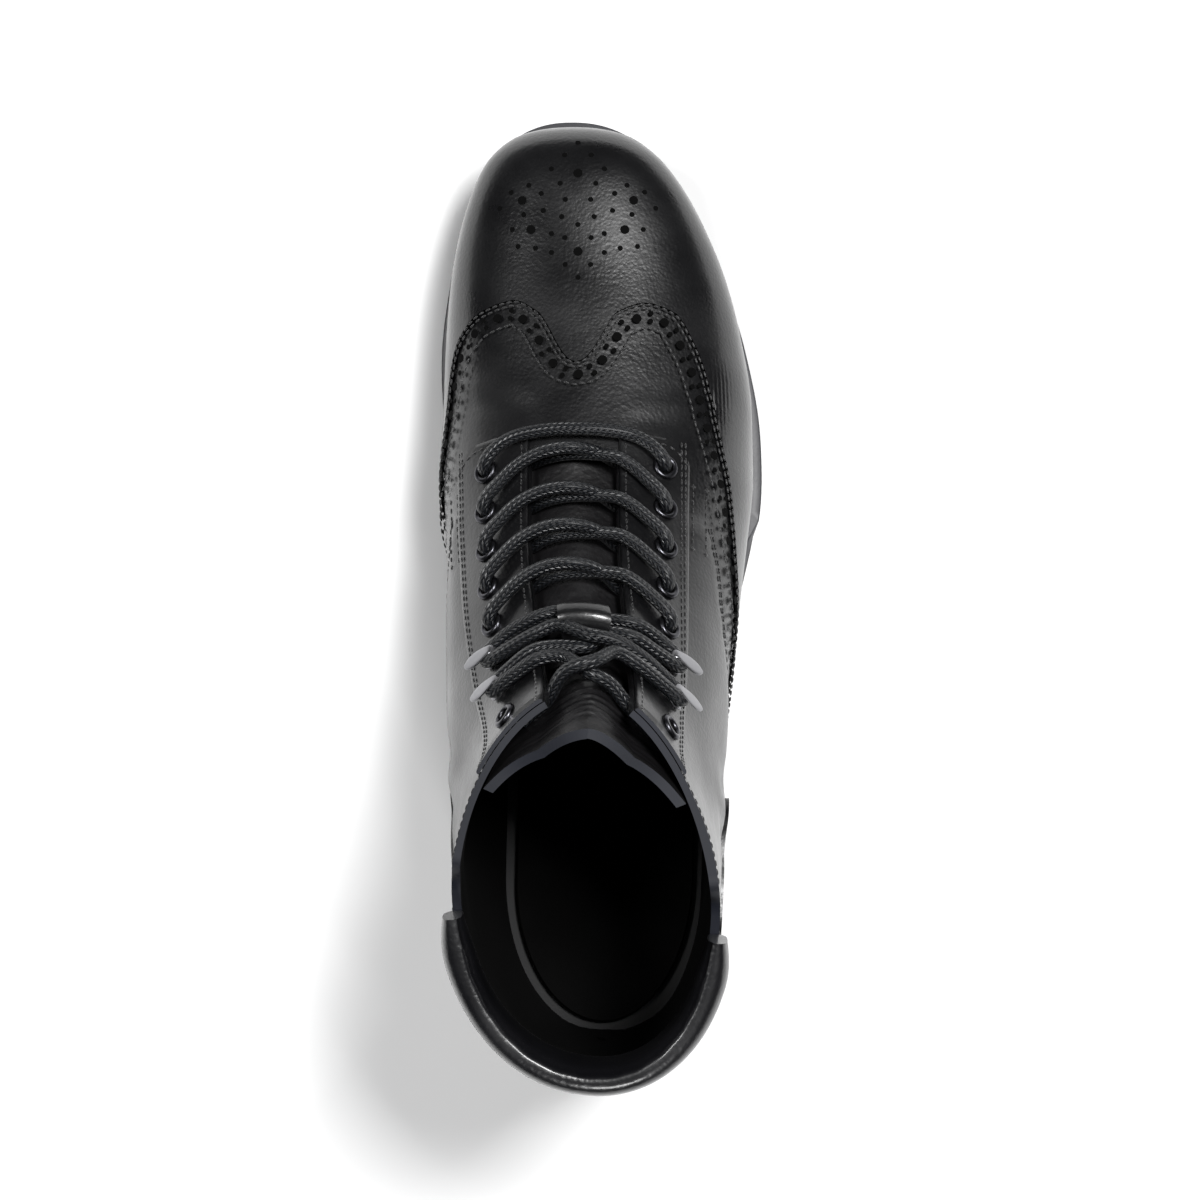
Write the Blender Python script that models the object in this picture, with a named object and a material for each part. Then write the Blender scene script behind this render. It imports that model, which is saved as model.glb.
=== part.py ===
"""A right-foot lace-up boot with a wing tip, standing on its rubber sole.

The toe points along +Y, the outer side of the foot is +X and the ground is Z = 0. All sizes here are
millimetres and are turned to metres when a mesh is made.
"""
import functools
import math
from collections import namedtuple

import bmesh
import bpy
import numpy as np

for old in list(bpy.data.objects):
    bpy.data.objects.remove(old)

MM = 0.001

# Driving sizes of the last and the sole
SOLE_LENGTH = 305.0
TOE_TIP_Y = 158.0
BALL_WIDTH = 105.3
HEEL_SEAT = 32.0
UPPER_HEIGHT = 118.0
WALL = 2.0
CLEAR = 0.3

# Sole edge, from outside to inside, and the sole's heights
RIM = 3.4
GROOVE = 1.2
BEAD = 1.3
BEAD_ROOM = 1.1
GROOVE_DEPTH = 1.6
BEAD_HEIGHT = 1.5
WELT_END = 0.60
RIM_THICKNESS = 4.0
SIDE_STEP = 1.0
WAIST_UNDERCUT = 3.2
TREAD_EDGE = 1.6
HEEL_STEP = 0.9
TOP_LIFT = 6.5
HEEL_BREAST = 0.272
BREAST_HOLLOW = 0.016
INSOLE = 3.0
INSOLE_ROOM = 4.0

# The throat, the facings and what is laced through them
THROAT_HALF = 14.0
THROAT_ROW = 9.2
TOP_ROW = 22.0
FACING_INNER = 43.0
FACING_OUTER = 38.0
FACING_FRONT = 8.85
FACING_CORNER = 0.45
CAP_FOOT = 3.2
CAP_COLUMNS = 2
CAP_EASE = 0.6
CAP_EASE_HEIGHT = 7.0
COUNTER_FOOT = 0.90
COUNTER_LIFT = 0.8
COUNTER_LEVELS = 3.0
COUNTER_HEEL = 0.98
COUNTER_HEIGHT = 46.0
COUNTER_EASE = 0.9
OVERLAY = 1.2
EYELET_LINE = 29.0
FIRST_EYELET = 4.0
EYELET_PITCH = 15.0
EYELET_SIDES = 8
LACE_SIDES = 2
LACE_SLANT_ROWS = 0.35
LACE_LOW = 2.0
LACE_LOW_KEPT = 0.6
LACE_OVER = 2.6
LACE_EDGE_GAP = 0.6
HOOKED_REACH = 0.8
STRAND_POINTS = 8
EYELET_ROWS = 5
HOOK_ROWS = 2
EYELET_OUTER = 8.4
EYELET_BORE = 4.6
EYELET_RISE = 0.9
LACE = 4.2
HOOK_LENGTH = 9.5
HOOK_WIDTH = 5.0
HOOK_RISE = 4.2
HOOK_PLATE = 0.9
HOOK_FOOT = 0.42
HOOK_NECK = 0.4
HOOK_NECK_WIDTH = 0.62
HOOK_BEND = 0.8
HOOK_FLARE = 0.5
HOOK_WIDEST = 0.6
HOOK_TIP = 0.5
EYELET_FOOT = 0.4
CUT_STEPS = 30

# Tongue and padded collar
TONGUE_DEPTH = 7.2
TONGUE_DEPTH_TOP = 8.5
TONGUE_WALL = 3.0
TONGUE_FRONT_ROW = 8.2
TONGUE_TOP_ROW = 23.0
TONGUE_HALF = 25.0
TONGUE_HALF_TOP = 46.0
COLLAR_HEIGHT_ROWS = 1.65
COLLAR_START = 0.50
COLLAR_OUT = 4.5
COLLAR_IN = 3.0
COLLAR_SIDES = 10
COLLAR_LINES = 23
COLLAR_GAP = 0.06
COLLAR_SEAM = 0.05
COLLAR_RISE_ROWS = 0.12
COLLAR_SHOULDER = 0.62
COLLAR_SWELL_LINES = 2
COLLAR_SQUARE = 0.75
TONGUE_COLUMNS = 11
TONGUE_LOW_ROWS = 9
TONGUE_HIGH_ROWS = 6
TONGUE_SWELL = 3.2
TONGUE_EDGE = 0.6
TONGUE_SIDE_DROP = 1.2
TONGUE_SIDE_GAP = 0.6
TOPLINE_DIP = 0.55
KEEPER_WIDTH = 12.0
KEEPER_WALL = 1.4
KEEPER_HALF_ROWS = 0.50
KEEPER_SQUARE = 0.7
KEEPER_LINES = 10
ROW_LENGTH = 16.0

BLACK = (0.01, 0.01, 0.011)
LEATHER_GLOSS = 0.3
TONGUE_BLACK = (0.012, 0.011, 0.011)
TONGUE_GLOSS = 0.45
LACE_BLACK = (0.014, 0.016, 0.019)
LACE_GLOSS = 0.6
NICKEL = (0.10, 0.10, 0.11)
BRUSHED = (0.32, 0.32, 0.33)
METAL_GLOSS = 0.28
HALF_BALL = BALL_WIDTH / 2
HEEL_BACK_Y = TOE_TIP_Y - SOLE_LENGTH
FEATHER = RIM + GROOVE + BEAD + BEAD_ROOM
END_SHARE = 0.72

# The sole's plan. at: share of the length from the back of the heel to the toe tip. centre and half are
# shares of the ball width. seat and under are shares of the heel seat's height: the rim's top and the tread.
Plan = namedtuple("Plan", "at centre half seat under")
PLAN = [
    Plan(0.000, 0.010, 0.365, 1.00, 0.625),
    Plan(0.110, 0.012, 0.366, 1.00, 0.625),
    Plan(0.210, 0.018, 0.365, 0.99, 0.615),
    Plan(0.300, 0.024, 0.367, 0.93, 0.570),
    Plan(0.385, 0.023, 0.380, 0.80, 0.440),
    Plan(0.470, 0.026, 0.416, 0.63, 0.235),
    Plan(0.557, 0.029, 0.470, 0.48, 0.040),
    Plan(0.620, 0.019, 0.494, 0.43, 0.000),
    Plan(0.680, 0.004, 0.500, 0.42, 0.000),
    Plan(0.750, -0.019, 0.496, 0.42, 0.000),
    Plan(0.840, -0.043, 0.484, 0.46, 0.055),
    Plan(0.925, -0.068, 0.486, 0.56, 0.165),
    Plan(1.000, -0.087, 0.498, 0.70, 0.320),
]
HEEL_ROUND = 0.165
TOE_ROUND = 0.350
TOE_POWER = 2.25

# The upper's sections fan from the toe tip, over the instep, up to the collar. Each one runs from a point on
# the sole's feather, or on the back of the boot, to a point on its ridge. base: share of the feather's length
# from heel to toe. back and lift: how far the base lies behind and above the seat, shares of the upper's
# height. top: the ridge's place, a share of the sole's length from the back. rise: its height over the seat,
# a share of the upper's height. ridge, inner, outer: where the ridge and the two sides lie, shares of the
# ball width. belly: how far up the section its widest place is. crown and flank: how full it is above and
# below that. turn: how far the section turns to the outer side.
Section = namedtuple("Section", "base back lift top rise ridge inner outer belly crown flank turn")
SECTIONS = [
    Section(1.000, 0.000, 0.000, 0.9860, 0.000, -0.087, -0.087, -0.087, 0.35, 2.1, 1.3, 0.00),
    Section(0.996, 0.000, 0.000, 0.9870, 0.045, -0.084, -0.178, 0.006, 0.36, 2.1, 1.3, 0.00),
    Section(0.981, 0.000, 0.000, 0.9820, 0.115, -0.078, -0.266, 0.098, 0.36, 2.2, 1.3, 0.00),
    Section(0.954, 0.000, 0.000, 0.9650, 0.185, -0.072, -0.340, 0.182, 0.35, 2.2, 1.3, 0.00),
    Section(0.920, 0.000, 0.000, 0.9370, 0.234, -0.067, -0.386, 0.252, 0.34, 2.2, 1.3, 0.00),
    Section(0.876, 0.000, 0.000, 0.8970, 0.272, -0.065, -0.424, 0.318, 0.33, 2.2, 1.3, 0.00),
    Section(0.819, 0.000, 0.000, 0.8490, 0.305, -0.065, -0.452, 0.380, 0.32, 2.2, 1.3, 0.00),
    Section(0.751, 0.000, 0.000, 0.7840, 0.352, -0.069, -0.467, 0.429, 0.32, 2.1, 1.3, 0.00),
    Section(0.677, 0.000, 0.000, 0.7120, 0.407, -0.074, -0.474, 0.459, 0.32, 2.0, 1.3, 0.00),
    Section(0.599, 0.000, 0.000, 0.6460, 0.470, -0.079, -0.483, 0.461, 0.35, 1.9, 1.4, 0.00),
    Section(0.514, 0.000, 0.000, 0.5900, 0.522, -0.079, -0.473, 0.438, 0.40, 1.9, 1.5, 0.01),
    Section(0.420, 0.000, 0.000, 0.5450, 0.566, -0.076, -0.462, 0.410, 0.44, 1.9, 1.5, 0.02),
    Section(0.325, 0.000, 0.000, 0.5060, 0.610, -0.069, -0.456, 0.388, 0.47, 1.9, 1.45, 0.035),
    Section(0.227, 0.000, 0.000, 0.4750, 0.664, -0.057, -0.451, 0.375, 0.49, 1.9, 1.40, 0.05),
    Section(0.135, 0.000, 0.000, 0.4510, 0.728, -0.048, -0.443, 0.366, 0.50, 1.95, 1.35, 0.06),
    Section(0.055, 0.000, 0.000, 0.4330, 0.792, -0.039, -0.434, 0.357, 0.50, 2.0, 1.65, 0.07),
    Section(0.000, 0.000, 0.000, 0.4210, 0.850, -0.032, -0.424, 0.352, 0.49, 2.0, 2.20, 0.08),
    Section(0.000, 0.030, 0.130, 0.4140, 0.898, -0.028, -0.417, 0.347, 0.48, 1.95, 2.25, 0.09),
    Section(0.000, 0.038, 0.270, 0.4095, 0.930, -0.026, -0.413, 0.342, 0.47, 1.90, 2.20, 0.09),
    Section(0.000, 0.018, 0.440, 0.4055, 0.952, -0.026, -0.411, 0.336, 0.46, 1.85, 2.15, 0.09),
    Section(0.000, -0.010, 0.610, 0.4025, 0.970, -0.026, -0.410, 0.332, 0.455, 1.80, 2.10, 0.09),
    Section(0.000, -0.022, 0.775, 0.4000, 0.986, -0.026, -0.410, 0.328, 0.45, 1.80, 2.10, 0.09),
    Section(0.000, -0.016, 0.925, 0.3985, 1.000, -0.026, -0.411, 0.326, 0.45, 1.80, 2.10, 0.09),
    Section(0.000, -0.010, 1.075, 0.3900, 1.105, -0.026, -0.413, 0.326, 0.45, 1.80, 2.10, 0.09),
]
BACK_LEAN = -0.045
TURN_CENTRE = -0.045
CLOSED_ROW = 16.0
EASE_REACH = 4.0
EASE_STEP = 0.55
EASE_SHARES = ((-2, 0.12), (-1, 0.24), (0, 0.28), (1, 0.24), (2, 0.12))
KNEE_FORE = 0.72
KNEE_SHAFT = 0.52

# The wing cap's pinked edge and the counter's upper edge. across: place over the upper from the inner feather
# (-1) over the ridge (0) to the outer feather (1). row: place along the sections.
Edge = namedtuple("Edge", "across row")
WING_EDGE = [
    Edge(-1.00, 10.6), Edge(-0.88, 10.0), Edge(-0.74, 9.2), Edge(-0.63, 8.35), Edge(-0.58, 7.5),
    Edge(-0.49, 7.05), Edge(-0.36, 6.8), Edge(-0.22, 6.72), Edge(-0.12, 6.95), Edge(0.0, 7.7),
    Edge(0.10, 6.95), Edge(0.19, 6.78), Edge(0.29, 6.9), Edge(0.36, 7.4), Edge(0.42, 8.2),
    Edge(0.49, 9.3), Edge(0.58, 10.6), Edge(0.72, 11.5), Edge(1.00, 12.2),
]
# The quarter panel is seen between the facings and the counter. row: along the sections. across: the
# counter's upper edge there, on the outer side, and mirrored on the inner side.
COUNTER_EDGE = [
    Edge(0.86, 13.0), Edge(0.74, 13.4), Edge(0.68, 14.2), Edge(0.64, 15.0), Edge(0.61, 16.0),
    Edge(0.60, 17.5),
]


def smooth(x, xs, ys):
    """Reads a smooth curve through the points of a table at x."""
    xs = np.asarray(xs, float)
    ys = np.asarray(ys, float)
    flip = xs[0] > xs[-1]
    if flip:
        xs, ys = xs[::-1], ys[::-1]
    step = np.diff(xs)
    rate = np.diff(ys) / step
    slope = np.empty_like(ys)
    slope[0], slope[-1] = rate[0], rate[-1]
    before, after = rate[:-1], rate[1:]
    level = before * after <= 0
    safe = np.where(level, 1, before + after)
    slope[1:-1] = np.where(level, 0, 2 * before * after / safe)
    x = np.clip(np.asarray(x, float), xs[0], xs[-1])
    i = np.clip(np.searchsorted(xs, x) - 1, 0, len(step) - 1)
    t = (x - xs[i]) / step[i]
    rise = t * t * (3 - 2 * t)
    return (ys[i] * (1 - rise) + ys[i + 1] * rise
            + step[i] * (t * (1 - t) ** 2 * slope[i] - t * t * (1 - t) * slope[i + 1]))


def column(rows, name):
    return [getattr(row, name) for row in rows]


def plan(at, name):
    return smooth(at, column(PLAN, "at"), column(PLAN, name))


def end_round(at):
    """How far the outline has opened, from nothing at its two ends to 1 along its middle."""
    heel = np.clip(np.asarray(at) / HEEL_ROUND, 0, 1)
    toe = np.clip((1 - np.asarray(at)) / TOE_ROUND, 0, 1)
    heel_part = np.sqrt(np.maximum(0, 1 - (1 - heel) ** 2))
    toe_part = np.maximum(0, 1 - (1 - toe) ** TOE_POWER) ** (1 / TOE_POWER)
    return heel_part * toe_part


def outline(at, inset):
    """Y, inner X and outer X of the sole's outline, drawn in by inset at the ball."""
    end = inset * END_SHARE
    y = HEEL_BACK_Y + end + np.asarray(at) * (SOLE_LENGTH - 2 * end)
    centre = plan(at, "centre") * BALL_WIDTH
    half = plan(at, "half") * BALL_WIDTH * end_round(at) * (1 - inset / HALF_BALL)
    return y, centre - half, centre + half


def footprint_centre():
    """The middle of the sole's outline, which is the part's origin."""
    y, inner, outer = outline(np.linspace(0, 1, 201), 0)
    return np.array([(inner.min() + outer.max()) / 2, (y[0] + y[-1]) / 2, 0])


def metres(point):
    """A point of the last, in metres from the part's origin."""
    return (np.asarray(point) - footprint_centre()) * MM


def along(y):
    return (y - HEEL_BACK_Y) / SOLE_LENGTH


def seat(y):
    return plan(along(y), "seat") * HEEL_SEAT


def tread(y):
    return plan(along(y), "under") * HEEL_SEAT


def section(row, name):
    return smooth(row, range(len(SECTIONS)), column(SECTIONS, name))


def blend(a, b, share):
    return a + (b - a) * share


def on_section(row, across):
    """A point of one section, from its row in the table and its place across."""
    base_y, base_in, base_out = outline(section(row, "base"), FEATHER)
    shaft = np.clip((row - CLOSED_ROW) / (TOP_ROW - CLOSED_ROW), 0, 1.2)
    base_y = base_y - section(row, "back") * UPPER_HEIGHT
    floor = seat(base_y) + CLEAR
    base_z = floor + section(row, "lift") * UPPER_HEIGHT
    top_y = blend(base_y, HEEL_BACK_Y + section(row, "top") * SOLE_LENGTH, np.clip(row, 0, 1))
    top_z = floor + section(row, "rise") * UPPER_HEIGHT
    lean = BACK_LEAN * BALL_WIDTH * shaft
    outer = across > 0
    side = np.where(outer, section(row, "outer"), section(row, "inner")) * BALL_WIDTH
    base_x = np.where(outer, base_out, base_in) + lean
    ridge = section(row, "ridge") * BALL_WIDTH
    belly = section(row, "belly")
    knee = blend(KNEE_FORE, KNEE_SHAFT, np.clip((row - 9) / 8, 0, 1))
    a = np.abs(across)
    upper_turn = np.clip(a / knee, 0, 1) * math.pi / 2
    lower_turn = np.clip((a - knee) / (1 - knee), 0, 1) * math.pi / 2
    crown = 2 / section(row, "crown")
    flank = 2 / section(row, "flank")
    above = a < knee
    x = np.where(above, ridge + (side - ridge) * np.sin(upper_turn) ** crown,
                 base_x + (side - base_x) * np.cos(lower_turn) ** flank)
    s = np.where(above, belly + (1 - belly) * np.abs(np.cos(upper_turn)) ** crown,
                 belly * (1 - np.sin(lower_turn) ** flank))
    shift = section(row, "turn") * (x - TURN_CENTRE * BALL_WIDTH)
    y = blend(base_y, top_y, s) - shift
    z = blend(base_z + seat(base_y - shift) - seat(base_y), top_z, s)
    return np.stack([x, y, z], axis=-1)


def on_upper(row, across):
    """The point of the upper's outer face at a section row and a place across it.

    Round the heel the sections' lower ends turn from the sole up the back. There a point is the mean of
    its neighbours along the rows, so that the turn leaves no crease. At the feather it stays where it is.
    """
    row, across = np.broadcast_arrays(np.asarray(row, float), np.asarray(across, float))
    near = np.clip(1 - np.abs(row - CLOSED_ROW) / EASE_REACH, 0, 1)
    step = EASE_STEP * np.sqrt(near) * (1 - np.abs(across) ** 8)
    points = [on_section(row + step * k, across) * share for k, share in EASE_SHARES]
    return sum(points)


def facing_out(row, across):
    """The upper's outward direction at a point."""
    row, across = np.broadcast_arrays(np.asarray(row, float), np.asarray(across, float))
    row = np.clip(row, 0.12, len(SECTIONS) - 1.02)
    across = np.clip(across, -0.985, 0.985)
    small = 0.012
    forward = on_upper(row + small, across) - on_upper(row - small, across)
    sideways = on_upper(row, across + small) - on_upper(row, across - small)
    out = np.cross(forward, sideways)
    back_line = (np.abs(across) > 0.98) & (row > CLOSED_ROW - 0.01)
    out[..., 0] = np.where(back_line, 0, out[..., 0])
    return out / np.maximum(1e-9, np.linalg.norm(out, axis=-1, keepdims=True))


def off_upper(row, across, lift):
    """A point that far outside the upper's outer face, or inside it where lift is negative."""
    back_line = (np.asarray(across) <= -1) & (np.asarray(row) >= CLOSED_ROW)
    across = np.where(back_line, 1.0, across)
    return on_upper(row, across) + facing_out(row, across) * np.asarray(lift, float)[..., None]


def across_at(row, distance):
    """The place across a section that lies this far from its ridge, negative towards the inner side."""
    share = np.linspace(0, 0.9, 120)
    side = 1 if distance > 0 else -1
    points = on_upper(row, share * side)
    run = np.concatenate([[0], np.cumsum(np.linalg.norm(np.diff(points, axis=0), axis=1))])
    return side * float(np.interp(abs(distance), run, share))


def row_after(row, distance, run_length):
    """The row that lies run_length further up the boot, along the line at this distance from the ridge."""
    rows = np.linspace(row, TOP_ROW, 90)
    points = np.array([on_upper(r, across_at(r, distance)) for r in rows])
    run = np.concatenate([[0], np.cumsum(np.linalg.norm(np.diff(points, axis=0), axis=1))])
    return float(np.interp(run_length, run, rows))


def topline(across):
    """The row where the upper ends: the quarters' topline in front, under the padded collar behind."""
    a = np.abs(np.asarray(across, float))
    front = TOP_ROW - TOPLINE_DIP * np.sin(np.clip(a / COLLAR_START, 0, 1) * math.pi / 2) ** 2
    step = np.clip((a - COLLAR_START + 0.03) / 0.03, 0, 1)
    return front - step * (COLLAR_HEIGHT_ROWS + front - TOP_ROW)


def make_object(name, mesh_builder, colour, roughness, metallic=0.0):
    mesh = bpy.data.meshes.new(name)
    mesh_builder.to_mesh(mesh)
    mesh_builder.free()
    mesh.shade_smooth()
    mesh.set_sharp_from_angle(angle=math.radians(40))
    item = bpy.data.objects.new(name, mesh)
    bpy.context.collection.objects.link(item)
    material = bpy.data.materials.new(name)
    material.use_nodes = True
    shader = material.node_tree.nodes["Principled BSDF"]
    shader.inputs["Base Color"].default_value = (*colour, 1)
    shader.inputs["Roughness"].default_value = roughness
    shader.inputs["Metallic"].default_value = metallic
    mesh.materials.append(material)
    return item


def add_split(builder, ring, way):
    """Adds a quad as two triangles, always across the same corners, so that panels laid over it fit."""
    for corners in (ring[:3], [ring[0], *ring[2:]]):
        if len(set(corners)) == 3:
            builder.faces.new(corners[::way])


def walled(outer, inner, kept=None):
    """Closes two matching grids of points into one solid: both faces, and a wall round every open edge."""
    rows, columns = outer.shape[:2]
    builder = bmesh.new()
    shared = {}

    def corner(sheet, i, j):
        """The vertex of a grid point. Where outer points coincide, both sheets share theirs."""
        key = (sheet, *np.round(outer[i, j], 2))
        if key not in shared:
            shared[key] = builder.verts.new(metres((outer, inner)[sheet][i, j]))
        return shared[key]

    edges = {}
    for i in range(rows - 1):
        for j in range(columns - 1):
            if kept is not None and not kept[i][j]:
                continue
            ring = [(i, j), (i, j + 1), (i + 1, j + 1), (i + 1, j)]
            over = list(dict.fromkeys(corner(0, *at) for at in ring))
            under = list(dict.fromkeys(corner(1, *at) for at in ring))
            if len(over) < 3:
                continue
            add_split(builder, over, 1)
            add_split(builder, under, -1)
            for start, end in zip(ring, ring[1:] + ring[:1]):
                edges[corner(0, *start), corner(0, *end)] = (corner(1, *start), corner(1, *end))
    for (start, end), (start_under, end_under) in edges.items():
        if start is end or (end, start) in edges:
            continue
        side = list(dict.fromkeys([end, start, start_under, end_under]))
        if len(side) > 2:
            builder.faces.new(side)
    return tidy(builder)


def tidy(builder):
    """Merges doubled points, drops faces with no area and turns every face outwards."""
    bmesh.ops.remove_doubles(builder, verts=builder.verts, dist=0.01 * MM)
    bmesh.ops.dissolve_degenerate(builder, edges=builder.edges, dist=0.005 * MM)
    bmesh.ops.recalc_face_normals(builder, faces=builder.faces)
    return builder


def stacked(loops, close_ends=True):
    """Joins loops of matching points, bottom to top, into one solid. A loop is inner, then outer side."""
    builder = bmesh.new()
    rings = [[builder.verts.new(metres(p)) for p in loop] for loop in loops]
    count = len(rings[0])
    for low, high in zip(rings, rings[1:]):
        for j in range(count):
            k = (j + 1) % count
            builder.faces.new([low[j], low[k], high[k], high[j]])
    if close_ends:
        for ring, up in ((rings[0], False), (rings[-1], True)):
            half = count // 2
            for j in range(half):
                quad = [ring[j], ring[j + 1], ring[count - 1 - j], ring[(count - j) % count]]
                corners = list(dict.fromkeys(quad))
                builder.faces.new(corners if up else corners[::-1])
    return tidy(builder)


STATIONS = 0.5 - 0.5 * np.cos(np.linspace(0, math.pi, 31))


def plan_loop(inset, height, start=0.0, bulge=None):
    """A loop round the sole's outline from heel to toe along the outer side and back along the inner side."""
    at = start + (1 - start) * STATIONS
    y, inner, outer = outline(at, inset(at) if callable(inset) else inset)
    z = height(y)
    out_side = np.stack([outer, y, z], axis=-1)
    in_side = np.stack([inner, y, z], axis=-1)
    return np.concatenate([out_side, in_side[-2:0:-1]])


def build_outsole():
    fore = PLAN[6].at

    def waist_inset(at):
        return WAIST_UNDERCUT * np.clip((fore + 0.012 - at) / 0.024, 0, 1)

    def rim_inner(at):
        return np.maximum(RIM, waist_inset(at) + 0.5)

    side_low = lambda y: tread(y) + TREAD_EDGE * 2
    side_high = lambda y: seat(y) - RIM_THICKNESS
    loops = [
        plan_loop(TREAD_EDGE + SIDE_STEP, tread),
        plan_loop(SIDE_STEP, lambda y: tread(y) + TREAD_EDGE),
        plan_loop(SIDE_STEP, lambda y: blend(side_low(y), side_high(y), 0.55)),
        plan_loop(lambda at: waist_inset(at) * 0.4 + SIDE_STEP, side_high),
        plan_loop(lambda at: waist_inset(at) * 0.5, lambda y: side_high(y) + SIDE_STEP * 0.6),
        plan_loop(lambda at: waist_inset(at) * 0.9, lambda y: seat(y) - 0.8),
        plan_loop(lambda at: waist_inset(at) + 0.3, seat),
        plan_loop(rim_inner, seat),
        plan_loop(lambda at: rim_inner(at) + 0.3, lambda y: seat(y) - GROOVE_DEPTH),
        plan_loop(lambda at: rim_inner(at) + GROOVE - 0.3, lambda y: seat(y) - GROOVE_DEPTH),
        plan_loop(lambda at: rim_inner(at) + GROOVE, seat),
    ]
    make_object("outsole", stacked(loops), (0.012, 0.012, 0.013), 0.45)


def build_heel():
    """The heel block: its plan follows the sole, with a hollowed breast and a top lift step low down."""
    at = HEEL_BREAST * (0.5 - 0.5 * np.cos(np.linspace(0, math.pi, 17))) ** 0.9

    def loop(inset, height, breast):
        y, inner, outer = outline(at, inset)
        front = along(y) / HEEL_BREAST
        y = y - breast * np.clip(front, 0, 1) ** 6
        outer_side = np.stack([outer, y, height(y)], axis=-1)
        inner_side = np.stack([inner, y, height(y)], axis=-1)
        middle = blend(outer_side[-1], inner_side[-1], 0.5)
        middle = middle - np.array([0, BREAST_HOLLOW * SOLE_LENGTH, 0])
        middle[2] = height(middle[1])
        return np.concatenate([outer_side, [middle], inner_side[:0:-1]])

    flat = lambda z: lambda y: np.full_like(np.asarray(y, float), z)
    loops = [
        loop(SIDE_STEP + 0.8, flat(0.0), 1.5),
        loop(SIDE_STEP, flat(0.8), 1.5),
        loop(SIDE_STEP, flat(TOP_LIFT - HEEL_STEP), 1.2),
        loop(SIDE_STEP + HEEL_STEP, flat(TOP_LIFT), 1.0),
        loop(SIDE_STEP + HEEL_STEP * 1.2, lambda y: tread(y) - CLEAR, 0.0),
    ]
    builder = bmesh.new()
    rings = [[builder.verts.new(metres(p)) for p in ring] for ring in loops]
    count = len(rings[0])
    for low, high in zip(rings, rings[1:]):
        for j in range(count):
            k = (j + 1) % count
            builder.faces.new([low[j], low[k], high[k], high[j]])
    builder.faces.new(rings[0][::-1])
    builder.faces.new(rings[-1])
    bmesh.ops.triangulate(builder, faces=[f for f in builder.faces if len(f.verts) > 4])
    make_object("heel", tidy(builder), (0.012, 0.012, 0.013), 0.5)


def build_welt():
    """The raised bead that borders the forefoot's upper, from the waist round the toe to the waist."""
    at = WELT_END + (1 - WELT_END) * np.sin(np.linspace(0, math.pi / 2, 19))

    def line(inset, height):
        y, inner, outer = outline(at, inset)
        z = seat(y) + height
        out_side = np.stack([outer, y, z], axis=-1)
        in_side = np.stack([inner, y, z], axis=-1)
        return np.concatenate([out_side, in_side[-2::-1]])

    outside = RIM + GROOVE + 0.05
    inside = outside + BEAD
    profile = [(outside, CLEAR), (outside, BEAD_HEIGHT * 0.6), (blend(outside, inside, 0.5), BEAD_HEIGHT),
               (inside, BEAD_HEIGHT * 0.6), (inside, CLEAR)]
    lines = [line(inset, height) for inset, height in profile]
    builder = bmesh.new()
    rings = [[builder.verts.new(metres(p[j])) for p in lines] for j in range(len(lines[0]))]
    count = len(profile)
    for low, high in zip(rings, rings[1:]):
        for j in range(count):
            k = (j + 1) % count
            builder.faces.new([low[j], low[k], high[k], high[j]])
    builder.faces.new(rings[0][::-1])
    builder.faces.new(rings[-1])
    make_object("welt", tidy(builder), (0.015, 0.015, 0.016), 0.15)


def build_insole():
    inset = FEATHER + WALL + INSOLE_ROOM
    loops = [
        plan_loop(inset, lambda y: seat(y) + CLEAR),
        plan_loop(inset, lambda y: seat(y) + CLEAR + INSOLE),
    ]
    make_object("insole", stacked(loops), (0.02, 0.018, 0.017), 0.8)


VAMP_ROWS = [0, 0.4, 1, 1.6, 2.2, 3, 4, 5, 6, 7, 8, FACING_FRONT, THROAT_ROW]
QUARTER_ROWS = [10, 11, 12, 13, 14, 15, 15.45, 15.8, CLOSED_ROW]
SHAFT_ROWS = 6
SIDE_COLUMNS = 13
THROAT_COLUMNS = 4


SHAFT_LEVELS = list(np.linspace(CLOSED_ROW, TOP_ROW, SHAFT_ROWS + 1)[1:])
LEVELS = np.array(VAMP_ROWS + QUARTER_ROWS + SHAFT_LEVELS, float)


def level_row(level, place):
    """The row on one of the upper's grid lines: over the ankle the lines spread up to the topline."""
    climb = max(0, (level - CLOSED_ROW) / (TOP_ROW - CLOSED_ROW))
    return min(level, CLOSED_ROW) + climb * (topline(place) - CLOSED_ROW)


def level_places(level):
    """The places across of the upper's grid at a level: its columns follow the throat's edge."""
    shares = np.linspace(0, 1, SIDE_COLUMNS + 1)
    at = max(level, 1.0)
    fade = np.clip(level / 5, 0, 1)
    inner = blend(-0.22, across_at(at, -THROAT_HALF), fade)
    outer = blend(0.22, across_at(at, THROAT_HALF), fade)
    middle = np.linspace(inner, outer, THROAT_COLUMNS + 1)[1:-1]
    return np.concatenate([blend(-1, inner, shares), middle, blend(outer, 1, shares)])


def upper_lines():
    """The rows and places across of the upper's whole grid."""
    places = np.array([level_places(level) for level in LEVELS])
    rows = np.array([level_row(level, place) for level, place in zip(LEVELS, places)])
    return rows, places


def build_upper():
    rows, places = upper_lines()
    kept = np.ones((rows.shape[0] - 1, rows.shape[1] - 1), bool)
    kept[len(VAMP_ROWS) - 1:, SIDE_COLUMNS:SIDE_COLUMNS + THROAT_COLUMNS] = False
    outer = on_upper(rows, places)
    lift = np.full(rows.shape, -WALL)
    inner = off_upper(rows, places, lift)
    base = np.isclose(np.abs(places), 1)
    below = base & (rows <= CLOSED_ROW)
    inner[..., 2] = np.where(below, outer[..., 2], inner[..., 2])
    make_object("upper", walled(outer, inner, kept), (0.01, 0.01, 0.011), 0.3)


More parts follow.
